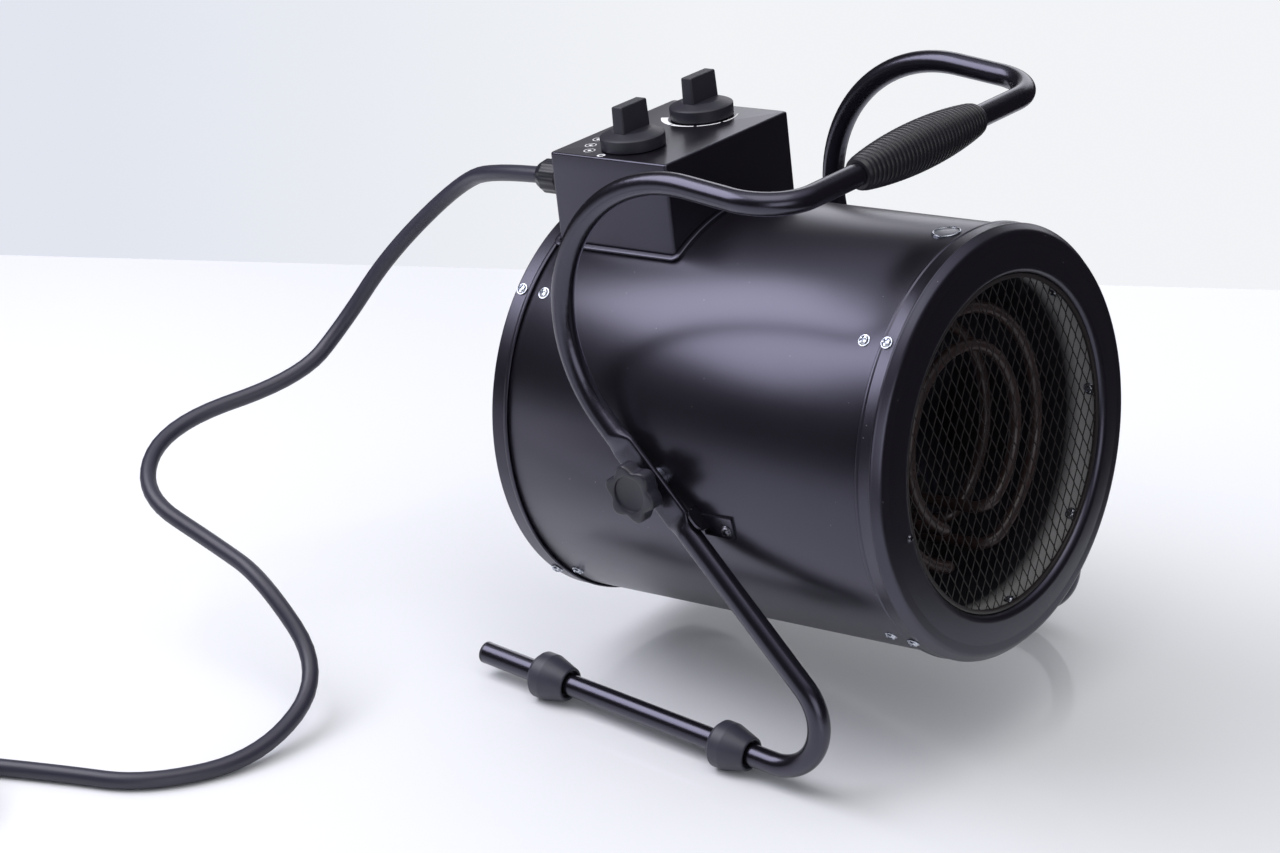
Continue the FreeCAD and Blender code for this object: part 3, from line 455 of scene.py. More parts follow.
class Finishes(Enum):
    """Every finish on the heater."""

    CASE = PowderCoat("case_powder_coat", (0.0038, 0.0030, 0.0042), 0.29, grain=1700.0, relief=0.000012,
                      spread=0.03, specular=1.0, gloss_tint=LAVENDER)
    TUBE = PowderCoat("tube_powder_coat", (0.0038, 0.0032, 0.0045), 0.25, grain=1500.0, relief=0.00001,
                      dust=0.01, specular=1.0, gloss_tint=LAVENDER)
    COLLAR = PowderCoat("collar_powder_coat", (0.0040, 0.0032, 0.0044), 0.32, grain=1700.0, relief=0.000012,
                        dust=0.02, specular=1.0, gloss_tint=LAVENDER)
    INNER = PowderCoat("inner_paint", (0.012, 0.012, 0.013), 0.5, grain=900.0, dust=0.0)
    DIAL = Moulding("dial_plastic", (0.0110, 0.0105, 0.0170), 0.48, grain=2400.0, relief=0.000012)
    STAR = Moulding("star_knob_plastic", (0.0120, 0.0115, 0.0185), 0.40, grain=1800.0, relief=0.000015)
    GRIP = Moulding("grip_rubber", (0.0050, 0.0048, 0.0075), 0.42, grain=2200.0, relief=0.00001)
    FOOT = Moulding("foot_rubber", (0.0260, 0.0265, 0.0390), 0.45)
    GLAND = Moulding("gland_nylon", (0.0095, 0.0092, 0.0140), 0.36, grain=1200.0, relief=0.00001)
    CABLE = Jacket("cable_jacket", (0.0200, 0.0195, 0.0320), 0.42, spread=0.08, relief=0.00006)
    ZINC = Plating("zinc_plate", (0.46, 0.48, 0.52), 0.26, metallic=1.0, grain=900.0, spread=0.06)
    # Inner liner: painted shade deeper in the drum, its own colour by the mouth.
    SHEET = ShadedDeepSheet("rolled_sheet", (0.62, 0.61, 0.62), 0.34, metallic=0.5, grain=500.0, relief=0.00003)
    SHEATH = Plating("scorched_sheath", (0.030, 0.024, 0.024), 0.30, grain=900.0, spread=0.08,
                     tint=(0.028, 0.010, 0.009))
    BLACK_ZINC = Plating("black_zinc", (0.16, 0.16, 0.18), 0.26, metallic=1.0, grain=900.0,
                         tint=(0.08, 0.08, 0.10))
    MESH = PowderCoat("mesh_coat", (0.020, 0.017, 0.017), 0.32, relief=0.00001, dust=0.0)
    MOTOR = PowderCoat("motor_paint", (0.03, 0.03, 0.033), 0.40, dust=0.0)
    FAN = Plating("fan_metal", (0.55, 0.56, 0.58), 0.34, metallic=1.0, tint=(0.50, 0.51, 0.54))
    COPPER = Plating("drawn_copper", (0.72, 0.40, 0.25), 0.30, metallic=1.0, tint=(0.62, 0.34, 0.20))
    CERAMIC = Moulding("cream_plastic", (0.62, 0.60, 0.54), 0.45, lift=1.1)
    BADGE = Finish("bare_badge", (0.16, 0.165, 0.19), 0.30, metallic=0.5, grain=800.0)
    PRINT = Finish("white_print", (0.84, 0.84, 0.86), 0.5, grain=2600.0, relief=0.000006)
    PLUG_SHELL = Moulding("plug_shell", (0.11, 0.115, 0.12), 0.42, lift=1.2)
    PLUG_COLLAR = Moulding("plug_collar", (0.46, 0.012, 0.012), 0.30, lift=1.15)
    BRASS = Plating("nickel_pins", (0.66, 0.62, 0.52), 0.22, metallic=1.0, tint=(0.60, 0.58, 0.52))

    def material(self) -> bpy.types.Material:
        """The finish's material."""
        return self.value.material()


# ---------------------------------------------------------------- surfaces
@dataclass
class Patch:
    """Part of a mesh: points and quads."""

    points: np.ndarray
    faces: np.ndarray

    @classmethod
    def grid(cls, points: np.ndarray, wrap_rows: bool = False, wrap_columns: bool = False) -> "Patch":
        """Quads between the neighbours of a rows by columns by 3 array of points.

        Args:
            points: The grid of points.
            wrap_rows: Whether the last row joins the first.
            wrap_columns: Whether the last column joins the first.

        Returns:
            The patch; face (i, j) has corners (i, j), (i, j+1), (i+1, j+1) and (i+1, j).
        """
        rows, columns = points.shape[:2]
        i, j = np.meshgrid(np.arange(rows - (not wrap_rows)), np.arange(columns - (not wrap_columns)),
                           indexing="ij")
        up, on = (i + 1) % rows, (j + 1) % columns
        corners = np.stack([i * columns + j, i * columns + on, up * columns + on, up * columns + j], axis=-1)
        return cls(points.reshape(-1, 3), corners.reshape(-1, 4))

    def moved(self, matrix: np.ndarray) -> "Patch":
        """The patch through a 4 by 4 matrix."""
        return Patch(self.points @ matrix[:3, :3].T + matrix[:3, 3], self.faces)

    @staticmethod
    def merged(patches: Iterable["Patch"]) -> "Patch":
        """Join several patches.

        Args:
            patches: The patches.

        Returns:
            One patch of them all.
        """
        parts = list(patches)
        starts = np.cumsum([0] + [len(part.points) for part in parts[:-1]])
        return Patch(np.concatenate([part.points for part in parts]),
                     np.concatenate([part.faces + start for part, start in zip(parts, starts)]))


def build(name: str, patch: Patch, finish: Finishes, crisp: float = 32.0, outwards: bool = True,
          chart: np.ndarray | None = None) -> bpy.types.Object:
    """Make a finished object from a patch.

    Args:
        name: The piece's name.
        patch: Its points and faces.
        finish: Its finish.
        crisp: Angle in degrees past which an edge is sharp.
        outwards: Whether to turn the normals outwards after the doubles are merged.
        chart: A vector for each point that the finish reads instead of its place.

    Returns:
        The object, at the origin.
    """
    mesh = bpy.data.meshes.new(name)
    mesh.from_pydata(patch.points.tolist(), [], patch.faces.tolist())
    if chart is not None:
        mesh.attributes.new(CHART, "FLOAT_VECTOR", "POINT").data.foreach_set("vector", chart.ravel())
    work = bmesh.new()
    work.from_mesh(mesh)
    bmesh.ops.remove_doubles(work, verts=work.verts, dist=WELD)
    bmesh.ops.dissolve_degenerate(work, edges=work.edges, dist=SLIVER)
    if outwards:
        bmesh.ops.recalc_face_normals(work, faces=work.faces)
    work.to_mesh(mesh)
    work.free()
    mesh.shade_smooth()
    mesh.set_sharp_from_angle(angle=math.radians(crisp))
    mesh.materials.append(finish.material())
    piece = bpy.data.objects.new(name, mesh)
    bpy.context.scene.collection.objects.link(piece)
    return piece


def rounded(corners: Outline, radii: Sequence[float], steps: int = 6) -> np.ndarray:
    """Open outline whose inner corners are arcs: each arc's centre is on the corner's bisector, at
    radius over the sine of half the corner's angle.

    Args:
        corners: The outline's corners.
        radii: One radius for each inner corner; 0 keeps it sharp.
        steps: Points on an arc, less one.

    Returns:
        The points of the outline.
    """
    spots = np.array(corners, float)
    pieces = [spots[:1]]
    for before, corner, after, radius in zip(spots, spots[1:], spots[2:], radii):
        back, onward = before - corner, after - corner
        back, onward = back / np.linalg.norm(back), onward / np.linalg.norm(onward)
        half = 0.5 * math.acos(float(np.clip(back @ onward, -1.0, 1.0)))
        if radius <= 0.0 or half > STRAIGHT:
            pieces.append(corner[None])
            continue
        bisector = (back + onward) / np.linalg.norm(back + onward)
        centre = corner + bisector * radius / math.sin(half)
        start, end = corner + back * radius / math.tan(half), corner + onward * radius / math.tan(half)
        first, last = start - centre, end - centre
        share = np.linspace(0.0, 1.0, steps + 1)[:, None]
        turn = math.pi - 2.0 * half
        spin = np.sin((1.0 - share) * turn) * first + np.sin(share * turn) * last
        pieces.append(centre + spin / math.sin(turn))
    pieces.append(spots[-1:])
    return np.concatenate(pieces)


def turns(count: int) -> np.ndarray:
    """Angles that share out a full circle evenly."""
    return np.linspace(0.0, 2.0 * np.pi, count, endpoint=False)


def about_x(along: np.ndarray | float, radius: np.ndarray | float, turn: np.ndarray) -> np.ndarray:
    """Points at a distance along X, at a radius turned about it."""
    return np.stack([along + 0.0 * turn, radius * np.cos(turn), radius * np.sin(turn)], axis=-1)


def about_z(radius: np.ndarray | float, height: float, turn: np.ndarray) -> np.ndarray:
    """Points at a radius turned about Z, at a height."""
    return np.stack([radius * np.cos(turn), radius * np.sin(turn), height + 0.0 * turn], axis=-1)


def lathe(profile: np.ndarray, segments: int = 96) -> Patch:
    """Surface of revolution about X: distance along, and radius turned through a full circle."""
    return Patch.grid(about_x(profile[:, :1], profile[:, 1:], turns(segments)), wrap_columns=True)


def sweep(path: np.ndarray, section: np.ndarray, across: np.ndarray, above: np.ndarray,
          closed: bool = False) -> Patch:
    """Section carried along a path: point + first coordinate times across + second times above.

    Args:
        path: Points of the path.
        section: Outline, either one for all points or one for each.
        across: Unit vector for the section's first coordinate, at each point.
        above: Unit vector for its second.
        closed: Whether the path is a loop; if not, its ends are closed to their middles.

    Returns:
        The tube.
    """
    outline = np.broadcast_to(section, (len(path), *section.shape[-2:]))
    grid = path[:, None] + outline[..., :1] * across[:, None] + outline[..., 1:] * above[:, None]
    if not closed:
        ends = [np.broadcast_to(path[place], (1, outline.shape[1], 3)) for place in (0, -1)]
        grid = np.concatenate([ends[0], grid, ends[1]])
    return Patch.grid(grid, wrap_rows=closed, wrap_columns=True)


def ring(radius: float, count: int) -> np.ndarray:
    """Points round a circle."""
    turn = turns(count)
    return radius * np.stack([np.cos(turn), np.sin(turn)], axis=-1)


def unit(vectors: np.ndarray) -> np.ndarray:
    """Vectors at length one."""
    return vectors / np.linalg.norm(vectors, axis=-1, keepdims=True)


def round_tube(path: np.ndarray, radius: float, count: int) -> Patch:
    """Round tube along any path: the section's axes come from the reference direction, among a few,
    that stays farthest from the path's own direction.

    Args:
        path: Points of the path.
        radius: Radius of the tube.
        count: Points round the tube.

    Returns:
        The tube.
    """
    along = unit(np.gradient(path, axis=0))
    choices = unit(np.array([[0.0, 0.0, 1.0], [0.3, 0.5, 0.8], [0.8, -0.5, 0.3],
                             [-0.4, 0.8, 0.4], [0.6, 0.2, -0.8]]))
    clear = [np.linalg.norm(np.cross(along, choice), axis=1).min() for choice in choices]
    across = unit(np.cross(along, choices[int(np.argmax(clear))]))
    return sweep(path, ring(radius, count), across, np.cross(along, across))


def box_loop(width: float, depth: float, radius: float, steps: int = 5) -> np.ndarray:
    """Rectangle with round corners: four quarter circles joined by sides.

    Args:
        width: Size along X.
        depth: Size along Y.
        radius: Corner radius.
        steps: Points on a corner, less one.

    Returns:
        The points of the loop.
    """
    quarter = np.linspace(0.0, 0.5 * np.pi, steps + 1)
    corners = [(1, 1, 0.0), (-1, 1, 0.5), (-1, -1, 1.0), (1, -1, 1.5)]
    return np.concatenate([
        np.stack([right * (width / 2 - radius) + radius * np.cos(quarter + start * np.pi),
                  top * (depth / 2 - radius) + radius * np.sin(quarter + start * np.pi)], axis=-1)
        for right, top, start in corners])


def rounded_block(width: float, depth: float, levels: Sequence[tuple[float, float]], corner: float,
                  taper: float) -> Patch:
    """Upright block: its round-cornered outline is drawn in by the second number at each level's height.

    Args:
        width: Size along X.
        depth: Size along Y.
        levels: Height and how far the outline is drawn in there.
        corner: Corner radius.
        taper: How far the top is drawn in on top of that.

    Returns:
        The block, closed at both ends.
    """
    top = levels[-1][0]
    loops = []
    for height, inset in levels:
        drawn_in = 2 * (inset + taper * height / top)
        loop = box_loop(width - drawn_in, depth - drawn_in, max(corner - inset, 0.0002))
        loops.append(np.concatenate([loop, np.full((len(loop), 1), height)], axis=1))
    ends = [np.broadcast_to([0.0, 0.0, levels[place][0]], loops[0].shape) for place in (0, -1)]
    return Patch.grid(np.stack([ends[0], *loops, ends[1]]), wrap_columns=True)


@dataclass(frozen=True)
class Place:
    """A set of axes in the scene."""

    origin: np.ndarray
    axes: np.ndarray

    def matrix(self) -> np.ndarray:
        """Give the way from these axes to the scene's own.

        Returns:
            A 4 by 4 matrix.
        """
        made = np.eye(4)
        made[:3, :3], made[:3, 3] = self.axes, self.origin
        return made

    def at(self, x: float, y: float, z: float) -> "Place":
        """The same axes at a point given along them."""
        return Place(self.origin + self.axes @ np.array([x, y, z]), self.axes)


def joint(name: str) -> dict:
    """A joint of the record."""
    return next(entry for entry in frame["joints"] if entry["name"] == name)


def heater_place() -> Place:
    """Axes of the drum: X along its air stream, Z up through the dials, at the tilt axis."""
    along, up = np.array(joint("fan_spin")["axis"]), np.array(joint("switch_turn")["axis"])
    return Place(np.array(joint("tilt")["pos_m"]), np.stack([along, np.cross(up, along), up], axis=1))


HEATER = heater_place()
STAND = Place(HEATER.origin, np.eye(3))
# Turns that lay a lathe's X axis along another one.
ON_Z = np.array(Matrix.Rotation(math.radians(-90.0), 4, "Y"))
ON_LEFT = np.array(Matrix.Rotation(math.radians(-90.0), 4, "Z"))
ON_RIGHT = np.array(Matrix.Rotation(math.radians(90.0), 4, "Z"))


def settle(piece: bpy.types.Object, body: str, slot: str, *nodes: str) -> None:
    """Make a piece ride on a body and stand for its nodes, and report it.

    Args:
        piece: The finished object.
        body: The CAD body that it moves with.
        slot: The record's material slot; not used.
        nodes: The CAD nodes that it stands for.
    """
    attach(piece, body)
    if nodes:
        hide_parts(*nodes)
    LOG.info("%s: %d faces on %s", piece.name, len(piece.data.polygons), body)


# ---------------------------------------------------------------- sub-assemblies
@dataclass
class Drum:
    """Case, end collars and expanded grille; sizes in metres.

    Attributes:
        radius: Outside of the case.
        wall: Thickness of the case.
        front: Front end of the case, along the drum from the tilt axis.
        rear: Rear end, the other way.
        collar: How far the collars' bands stand proud of the case.
        front_band: Length of the front collar's band.
        rear_band: Length of the rear collar's band.
        shoulder: Reach of the front collar's round shoulder.
        crease: Depth of the crease at the shoulder's foot.
        opening: Radius of the mouth.
        nose: How far forward of the case the mouth is.
        sheet: Thickness of the collars' sheet.
        intake: Radius of the rear opening.
        cell_wide: Width of a diamond of the grille.
        cell_high: Height of a diamond.
        strand: Width of a strand.
        grille_plane: Place of the grille along the drum.
        end_gap: How far inside its ends the case stops.
        strand_half: Half of a strand's depth, and how far each end is tilted out.
        knot: How far a strand runs on into a knot.
        facets: Points round the drum.
    """

    radius: float = 0.1482
    wall: float = 0.001
    front: float = 0.180
    rear: float = 0.149
    collar: float = 0.0018
    front_band: float = 0.0124
    rear_band: float = 0.0152
    shoulder: float = 0.0085
    crease: float = 0.0026
    opening: float = 0.117
    nose: float = 0.009
    sheet: float = 0.0015
    intake: float = 0.128
    cell_wide: float = 0.0100
    cell_high: float = 0.0189
    strand: float = 0.00062
    grille_plane: float = 0.1838
    end_gap: float = 0.0018
    strand_half: float = 0.0003
    knot: float = 0.0002
    facets: int = 256

    def case(self) -> Patch:
        """Rolled case with hemmed rims: the outline goes along outside, round each rim and back inside.

        Returns:
            The case.
        """
        low, high = -self.rear + self.end_gap, self.front - self.end_gap
        outer, inner = self.radius, self.radius - self.wall
        outline = [(low, inner), (low, outer), (high, outer), (high, inner), (low, inner)]
        return lathe(rounded(outline, [0.0003] * 3, 2), self.facets)

    def front_collar(self) -> Patch:
        """Band with a rolled bead at its rear edge and a crease at the rim, a round shoulder, a slightly
        conical face and a lip that turns back into the opening.

        Returns:
            The collar.
        """
        band = self.radius + self.collar
        start, end = self.front - self.front_band, self.front
        shoulder_radius = band - math.sqrt(self.shoulder ** 2 - self.crease ** 2)
        corner, nose = end - self.crease + self.shoulder, end + self.nose
        outline = [
            (start, self.radius + 0.0003), (start - 0.0006, band - 0.0004), (start + 0.0004, band + 0.0005),
            (start + 0.0016, band + 0.0004), (start + 0.0026, band - 0.0002), (end - 0.0014, band - 0.0002),
            (end - 0.0006, band + 0.0003), (end, band + 0.0001), (end + 0.0009, band - 0.0007),
            (corner, shoulder_radius + 0.0035), (corner + 0.0003, shoulder_radius - 0.004),
            (nose + 0.0002, self.opening), (nose - 0.016, self.opening),
            (nose - 0.016, self.opening + self.sheet), (nose - 0.006, self.opening + self.sheet)]
        radii = [0.0004, 0.0005, 0.0005, 0.0006, 0.0006, 0.0005, 0.0004, 0.0004,
                 0.0048, 0.0060, 0.0050, 0.0002, 0.0002]
        return lathe(rounded(outline, radii, 5), self.facets)

    def rear_collar(self) -> Patch:
        """Band with a bead at its front edge, a small round corner and a flat face round the intake.

        Returns:
            The collar.
        """
        band, end, edge = self.radius + self.collar, -self.rear, -self.rear + self.rear_band
        outline = [
            (edge, self.radius + 0.0003), (edge + 0.0004, band - 0.0002), (edge - 0.0006, band + 0.0005),
            (edge - 0.0022, band + 0.0003), (edge - 0.0030, band - 0.0003), (end + 0.002, band),
            (end, band - 0.0025), (end, self.intake), (end + self.sheet, self.intake),
            (end + self.sheet, self.radius - 0.002)]
        radii = [0.0004, 0.0005, 0.0006, 0.0006, 0.0015, 0.0015, 0.0004, 0.0004]
        return lathe(rounded(outline, radii, 4), self.facets)

    def strands(self) -> Patch:
        """Expanded sheet: zigzag strands between the knots of a staggered lattice, each a four-sided bar
        tilted out of the sheet, kept where both ends lie inside the opening, or cut off at its edge.

        Returns:
            The bars, each of eight points and six faces.
        """
        across, up = self.cell_wide, self.cell_high
        reach = self.opening - 0.0005
        columns = np.arange(-int(reach / across) - 1, int(reach / across) + 2)
        rows = np.arange(-2 * int(reach / up) - 2, 2 * int(reach / up) + 3)
        column, row = (part.ravel() for part in np.meshgrid(columns, rows, indexing="ij"))
        start = np.stack([(column + 0.5 * (row % 2)) * across, row * 0.5 * up], axis=-1)
        ends = np.concatenate([start + [0.5 * across, 0.5 * up], start + [-0.5 * across, 0.5 * up]])
        starts = np.concatenate([start, start])
        inside = (np.hypot(*starts.T) < reach) | (np.hypot(*ends.T) < reach)
        starts, ends = starts[inside], ends[inside]
        for spots, others in ((starts, ends), (ends, starts)):
            far = np.hypot(*spots.T)
            over = far > reach
            near = np.hypot(*others[over].T)
            share = (reach - near) / (far[over] - near)
            spots[over] = others[over] + (spots[over] - others[over]) * share[:, None]
        along = unit(ends - starts)
        side = np.stack([-along[:, 1], along[:, 0]], axis=-1) * (0.5 * self.strand)
        half = self.strand_half
        tilt = np.sign(along[:, :1]) * half
        bars = []
        for spot, knot in ((starts, -1.0), (ends, 1.0)):
            for offset, depth in ((side, half), (side, -half), (-side, -half), (-side, half)):
                flat = spot + offset + along * knot * self.knot
                bars.append(np.concatenate([self.grille_plane + depth + knot * tilt, flat], axis=1))
        points = np.stack(bars, axis=1)
        quads = np.array([[0, 1, 5, 4], [1, 2, 6, 5], [2, 3, 7, 6], [3, 0, 4, 7], [3, 2, 1, 0], [4, 5, 6, 7]])
        faces = (quads[None] + 8 * np.arange(len(points))[:, None, None]).reshape(-1, 4)
        return Patch(points.reshape(-1, 3), faces)

    def grille(self) -> Patch:
        """Give the strands and the rim that holds them.

        Returns:
            Both as one patch.
        """
        edge, low, high = self.opening - 0.0003, self.grille_plane - 0.0012, self.grille_plane + 0.0012
        rim = [(low, edge), (high, edge), (high, edge - 0.003), (low, edge - 0.003), (low, edge)]
        return Patch.merged([self.strands(), lathe(rounded(rim, [0.0003] * 3, 2), 128)])

    def dress(self) -> None:
        """Make the case, the collars and the grille, whose strands already face outwards."""
        matrix = HEATER.matrix()
        for name, patch, finish, slot, node in (
                ("case_shell", self.case(), Finishes.CASE, "case_paint", "outer_case"),
                ("front_hood", self.front_collar(), Finishes.COLLAR, "case_paint", "front_collar"),
                ("rear_hood", self.rear_collar(), Finishes.COLLAR, "case_paint", "rear_collar"),
                ("expanded_grille", self.grille(), Finishes.MESH, "dark_wire", "front_grille")):
            outwards = finish is not Finishes.MESH
            settle(build(name, patch.moved(matrix), finish, outwards=outwards), "heater", slot, node)


@dataclass
class ControlBox:
    """Sheet-metal box with two dials, its foot trim, the printed marks and the cord gland.

    Attributes:
        back: The rear face, behind the tilt axis.
        length: Size along the drum.
        width: Size across it.
        top: Height of the top above the drum's axis.
        fold: Radius of the fold round the top.
        drum: Outside of the drum.
        control_back: How far behind the tilt axis the dials turn.
        control_side: How far to either side they turn.
        trim: Width of the foot trim.
        trim_high: Height of the foot trim.
        gland_side: How far left the gland is.
        gland_height: Its height above the drum's axis.
        print_lift: How far the marks lie above the top.
        grip_foot: Height on a dial at which its grip bar begins.
        scale_radius: Inner radius of the printed scale.
        scale_arcs: Ends of the scale's strips, in degrees.
        heat_marks: Places of the ringed dots from the left dial's axis.
    """

    back: float = 0.1335
    length: float = 0.104
    width: float = 0.140
    top: float = 0.197
    fold: float = 0.0016
    drum: float = 0.1482
    control_back: float = 0.0825
    control_side: float = 0.039
    trim: float = 0.0045
    trim_high: float = 0.0026
    gland_side: float = 0.050
    gland_height: float = 0.172
    print_lift: float = 0.00008
    grip_foot: float = 0.0114
    scale_radius: float = 0.0246
    scale_arcs: tuple[tuple[float, float], ...] = (
        (-24.0, -70.0), (-72.0, -114.0), (-119.0, -159.0), (-164.0, -212.0))
    heat_marks: tuple[tuple[float, float], ...] = ((-0.0245, -0.0190), (-0.0325, -0.0080), (-0.0370, 0.0060))

    def shell(self) -> Patch:
        """Folded shell: the round-cornered outline rises from where it meets the drum, whose height at
        y is the root of its radius squared less y squared, to a fold drawn in as a quarter circle.

        Returns:
            The shell.
        """
        loop = box_loop(self.length, self.width, 0.0022) + [self.length / 2 - self.back, 0.0]
        side = np.clip(np.abs(loop[:, 1]), 0.0, self.width / 2)
        foot = np.sqrt((self.drum + 0.0003) ** 2 - side ** 2)
        share = np.linspace(0.0, 1.0, 7)[:, None, None]
        straight_top = self.top - self.fold
        walls = np.concatenate([np.broadcast_to(loop, (len(share), *loop.shape)),
                                foot[None, :, None] * (1 - share) + straight_top * share], axis=2)
        middle = loop.mean(axis=0)
        half = np.array([self.length, self.width]) / 2
        folds = []
        for turn in np.linspace(0.0, 0.5 * np.pi, 6)[1:]:
            drawn = middle + (loop - middle) * (1 - self.fold * (1 - math.cos(turn)) / half)
            height = straight_top + self.fold * math.sin(turn)
            folds.append(np.concatenate([drawn, np.full((len(loop), 1), height)], axis=1))
        cap = np.broadcast_to([*middle, self.top], folds[-1].shape)
        return Patch.grid(np.concatenate([walls, np.stack([*folds, cap])]), wrap_columns=True)

    def foot_trim(self) -> Patch:
        """Flat moulding on the drum round the box: a low round-backed section follows the box's outline,
        laid on the drum, where across is away from the box and above is away from the drum's axis.

        Returns:
            The trim.
        """
        loop = box_loop(self.length + self.trim, self.width + self.trim, 0.004, 8)
        steps = np.linspace(0.0, 1.0, 12, endpoint=False)[:, None]
        following = np.roll(loop, -1, axis=0)
        dense = (loop[:, None] * (1 - steps) + following[:, None] * steps).reshape(-1, 2)
        dense = dense + [self.length / 2 - self.back + 0.0004, 0.0]
        height = np.sqrt(np.maximum((self.drum + 0.0002) ** 2 - dense[:, 1] ** 2, 0.0))
        path = np.concatenate([dense, height[:, None]], axis=1)
        above = unit(path * [0.0, 1.0, 1.0])
        along = unit(np.roll(path, -1, axis=0) - np.roll(path, 1, axis=0))
        half, rise = self.trim / 2, self.trim_high
        section = rounded([(-half, 0.0), (-half, rise), (half, rise), (half, 0.0), (0.0, 0.0)],
                          [0.0009, 0.0009, 0.0002], 3)
        return sweep(path, section, unit(np.cross(along, above)), above, closed=True)

    def dial(self) -> Patch:
        """Disc with an upright side and a gently sloping top, and an upright grip bar drawn in to its top.

        Returns:
            The dial, standing on its foot.
        """
        disc = rounded([(0.0, 0.0), (0.0, 0.0228), (0.0084, 0.0230), (0.0094, 0.0212), (0.0122, 0.0140),
                        (0.0126, 0.0)], [0.0005, 0.0008, 0.0006, 0.0040, 0.0010], 5)
        levels = [(0.0, 0.0), (0.0186, 0.0), (0.0192, 0.0002), (0.0196, 0.0007)]
        bar = rounded_block(0.0102, 0.0290, levels, 0.0012, 0.0004)
        lift = np.eye(4)
        lift[2, 3] = self.grip_foot
        return Patch.merged([lathe(disc, 128).moved(ON_Z), bar.moved(lift)])

    def scale(self) -> Patch:
        """Printed wedge-shaped scale round the right dial: flat strips, parted by narrow gaps, whose outer
        edge draws in along the turn from the thick end to the thin one.

        Returns:
            The strips.
        """
        strips = []
        for first, last in self.scale_arcs:
            turn = np.radians(np.linspace(first, last, 24))
            width = 0.0016 + 0.0042 * np.clip((turn + 2.1) / 1.7, 0.0, 1.0) ** 1.5
            rows = [about_z(radius, 0.0, turn) * [-1.0, 1.0, 1.0]
                    for radius in (self.scale_radius + 0.0 * turn, self.scale_radius + width)]
            strips.append(Patch.grid(np.stack(rows)))
        return Patch.merged(strips)

    @staticmethod
    def mark(radius: float, wall: float) -> Patch:
        """Small printed ring, or a dot where the wall is the radius."""
        rows = [about_z(size, 0.0, turns(32)) for size in (radius - wall, radius)]
        return Patch.grid(np.stack(rows), wrap_columns=True)

    def prints(self) -> Patch:
        """Every printed mark, just above the box's top: the scale, a ring, and three ringed dots.

        Returns:
            The marks.
        """
        height = self.top + self.print_lift
        right = HEATER.at(-self.control_back, self.control_side, height)
        left = HEATER.at(-self.control_back, -self.control_side, height)
        marks = [self.scale().moved(right.matrix()),
                 self.mark(0.0030, 0.0013).moved(left.at(-0.0080, -0.0262, 0).matrix())]
        for x, y in self.heat_marks:
            spot = left.at(x, y, 0).matrix()
            marks.extend([self.mark(0.0042, 0.0006).moved(spot), self.mark(0.0014, 0.0014).moved(spot)])
        return Patch.merged(marks)

    def gland(self) -> tuple[Patch, Patch]:
        """Hexagon body and domed nut: a hexagon's radius at an angle is its flat distance over the cosine
        of the angle from the nearest flat's middle; the nut has shallow grip ribs that fade to its mouth.

        Returns:
            The body and the nut, each about X from its seat.
        """
        turn = turns(96)
        flats, corners, nut_radius, bore = 0.0118, 0.0132, 0.0122, 0.0062
        hexagon = np.minimum(flats / np.cos((turn + np.pi / 6) % (np.pi / 3) - np.pi / 6), corners)
        rows = [(0.0, bore, 0.0), (0.0, flats, 0.55), (0.0008, nut_radius, 1.0), (0.0062, nut_radius, 1.0),
                (0.0070, flats, 0.55), (0.0070, bore, 0.0), (0.0, bore, 0.0)]
        body = np.stack([about_x(x, size * (1 - share) + hexagon * share, turn) for x, size, share in rows])
        outline = rounded([(0.0, bore), (0.0, 0.0092), (0.0060, nut_radius), (0.0200, nut_radius),
                           (0.0200, bore), (0.0, bore)], [0.0012, 0.0030, 0.0006, 0.0004], 5)
        ribs = 0.0004 * np.cos(12.0 * turn) * np.clip((outline[:, 1:] - 0.0105) / 0.0015, 0.0, 1.0)
        nut = about_x(outline[:, :1], outline[:, 1:] + ribs, turn)
        return Patch.grid(body, wrap_columns=True), Patch.grid(nut, wrap_columns=True)

    def dress(self) -> None:
        """Make the box, trim, marks, dials and gland."""
        matrix = HEATER.matrix()
        settle(build("switch_box", self.shell().moved(matrix), Finishes.CASE),
               "heater", "case_paint", "control_box")
        settle(build("foot_trim", self.foot_trim().moved(matrix), Finishes.TUBE),
               "heater", "case_paint", "box_trim")
        settle(build("dial_marks", self.prints(), Finishes.PRINT, outwards=False), "heater", "pale_plastic")
        for side, body, node in ((-1, "switch_dial", "switch_knob"),
                                 (1, "thermostat_dial", "thermostat_knob")):
            spot = HEATER.at(-self.control_back, side * self.control_side, self.top + 0.0006)
            settle(build(f"{body}_grip", self.dial().moved(spot.matrix()), Finishes.DIAL),
                   body, "knob_plastic", node)
        hexagon, nut = self.gland()
        for name, patch, reach, node in (("gland_hexagon", hexagon, 0.0072, "cord_gland"),
                                         ("gland_dome", nut, 0.0274, "gland_nut")):
            seat = HEATER.at(-self.back - reach, -self.gland_side, self.gland_height)
            settle(build(name, patch.moved(seat.matrix()), Finishes.GLAND), "heater", "gland_plastic", node)


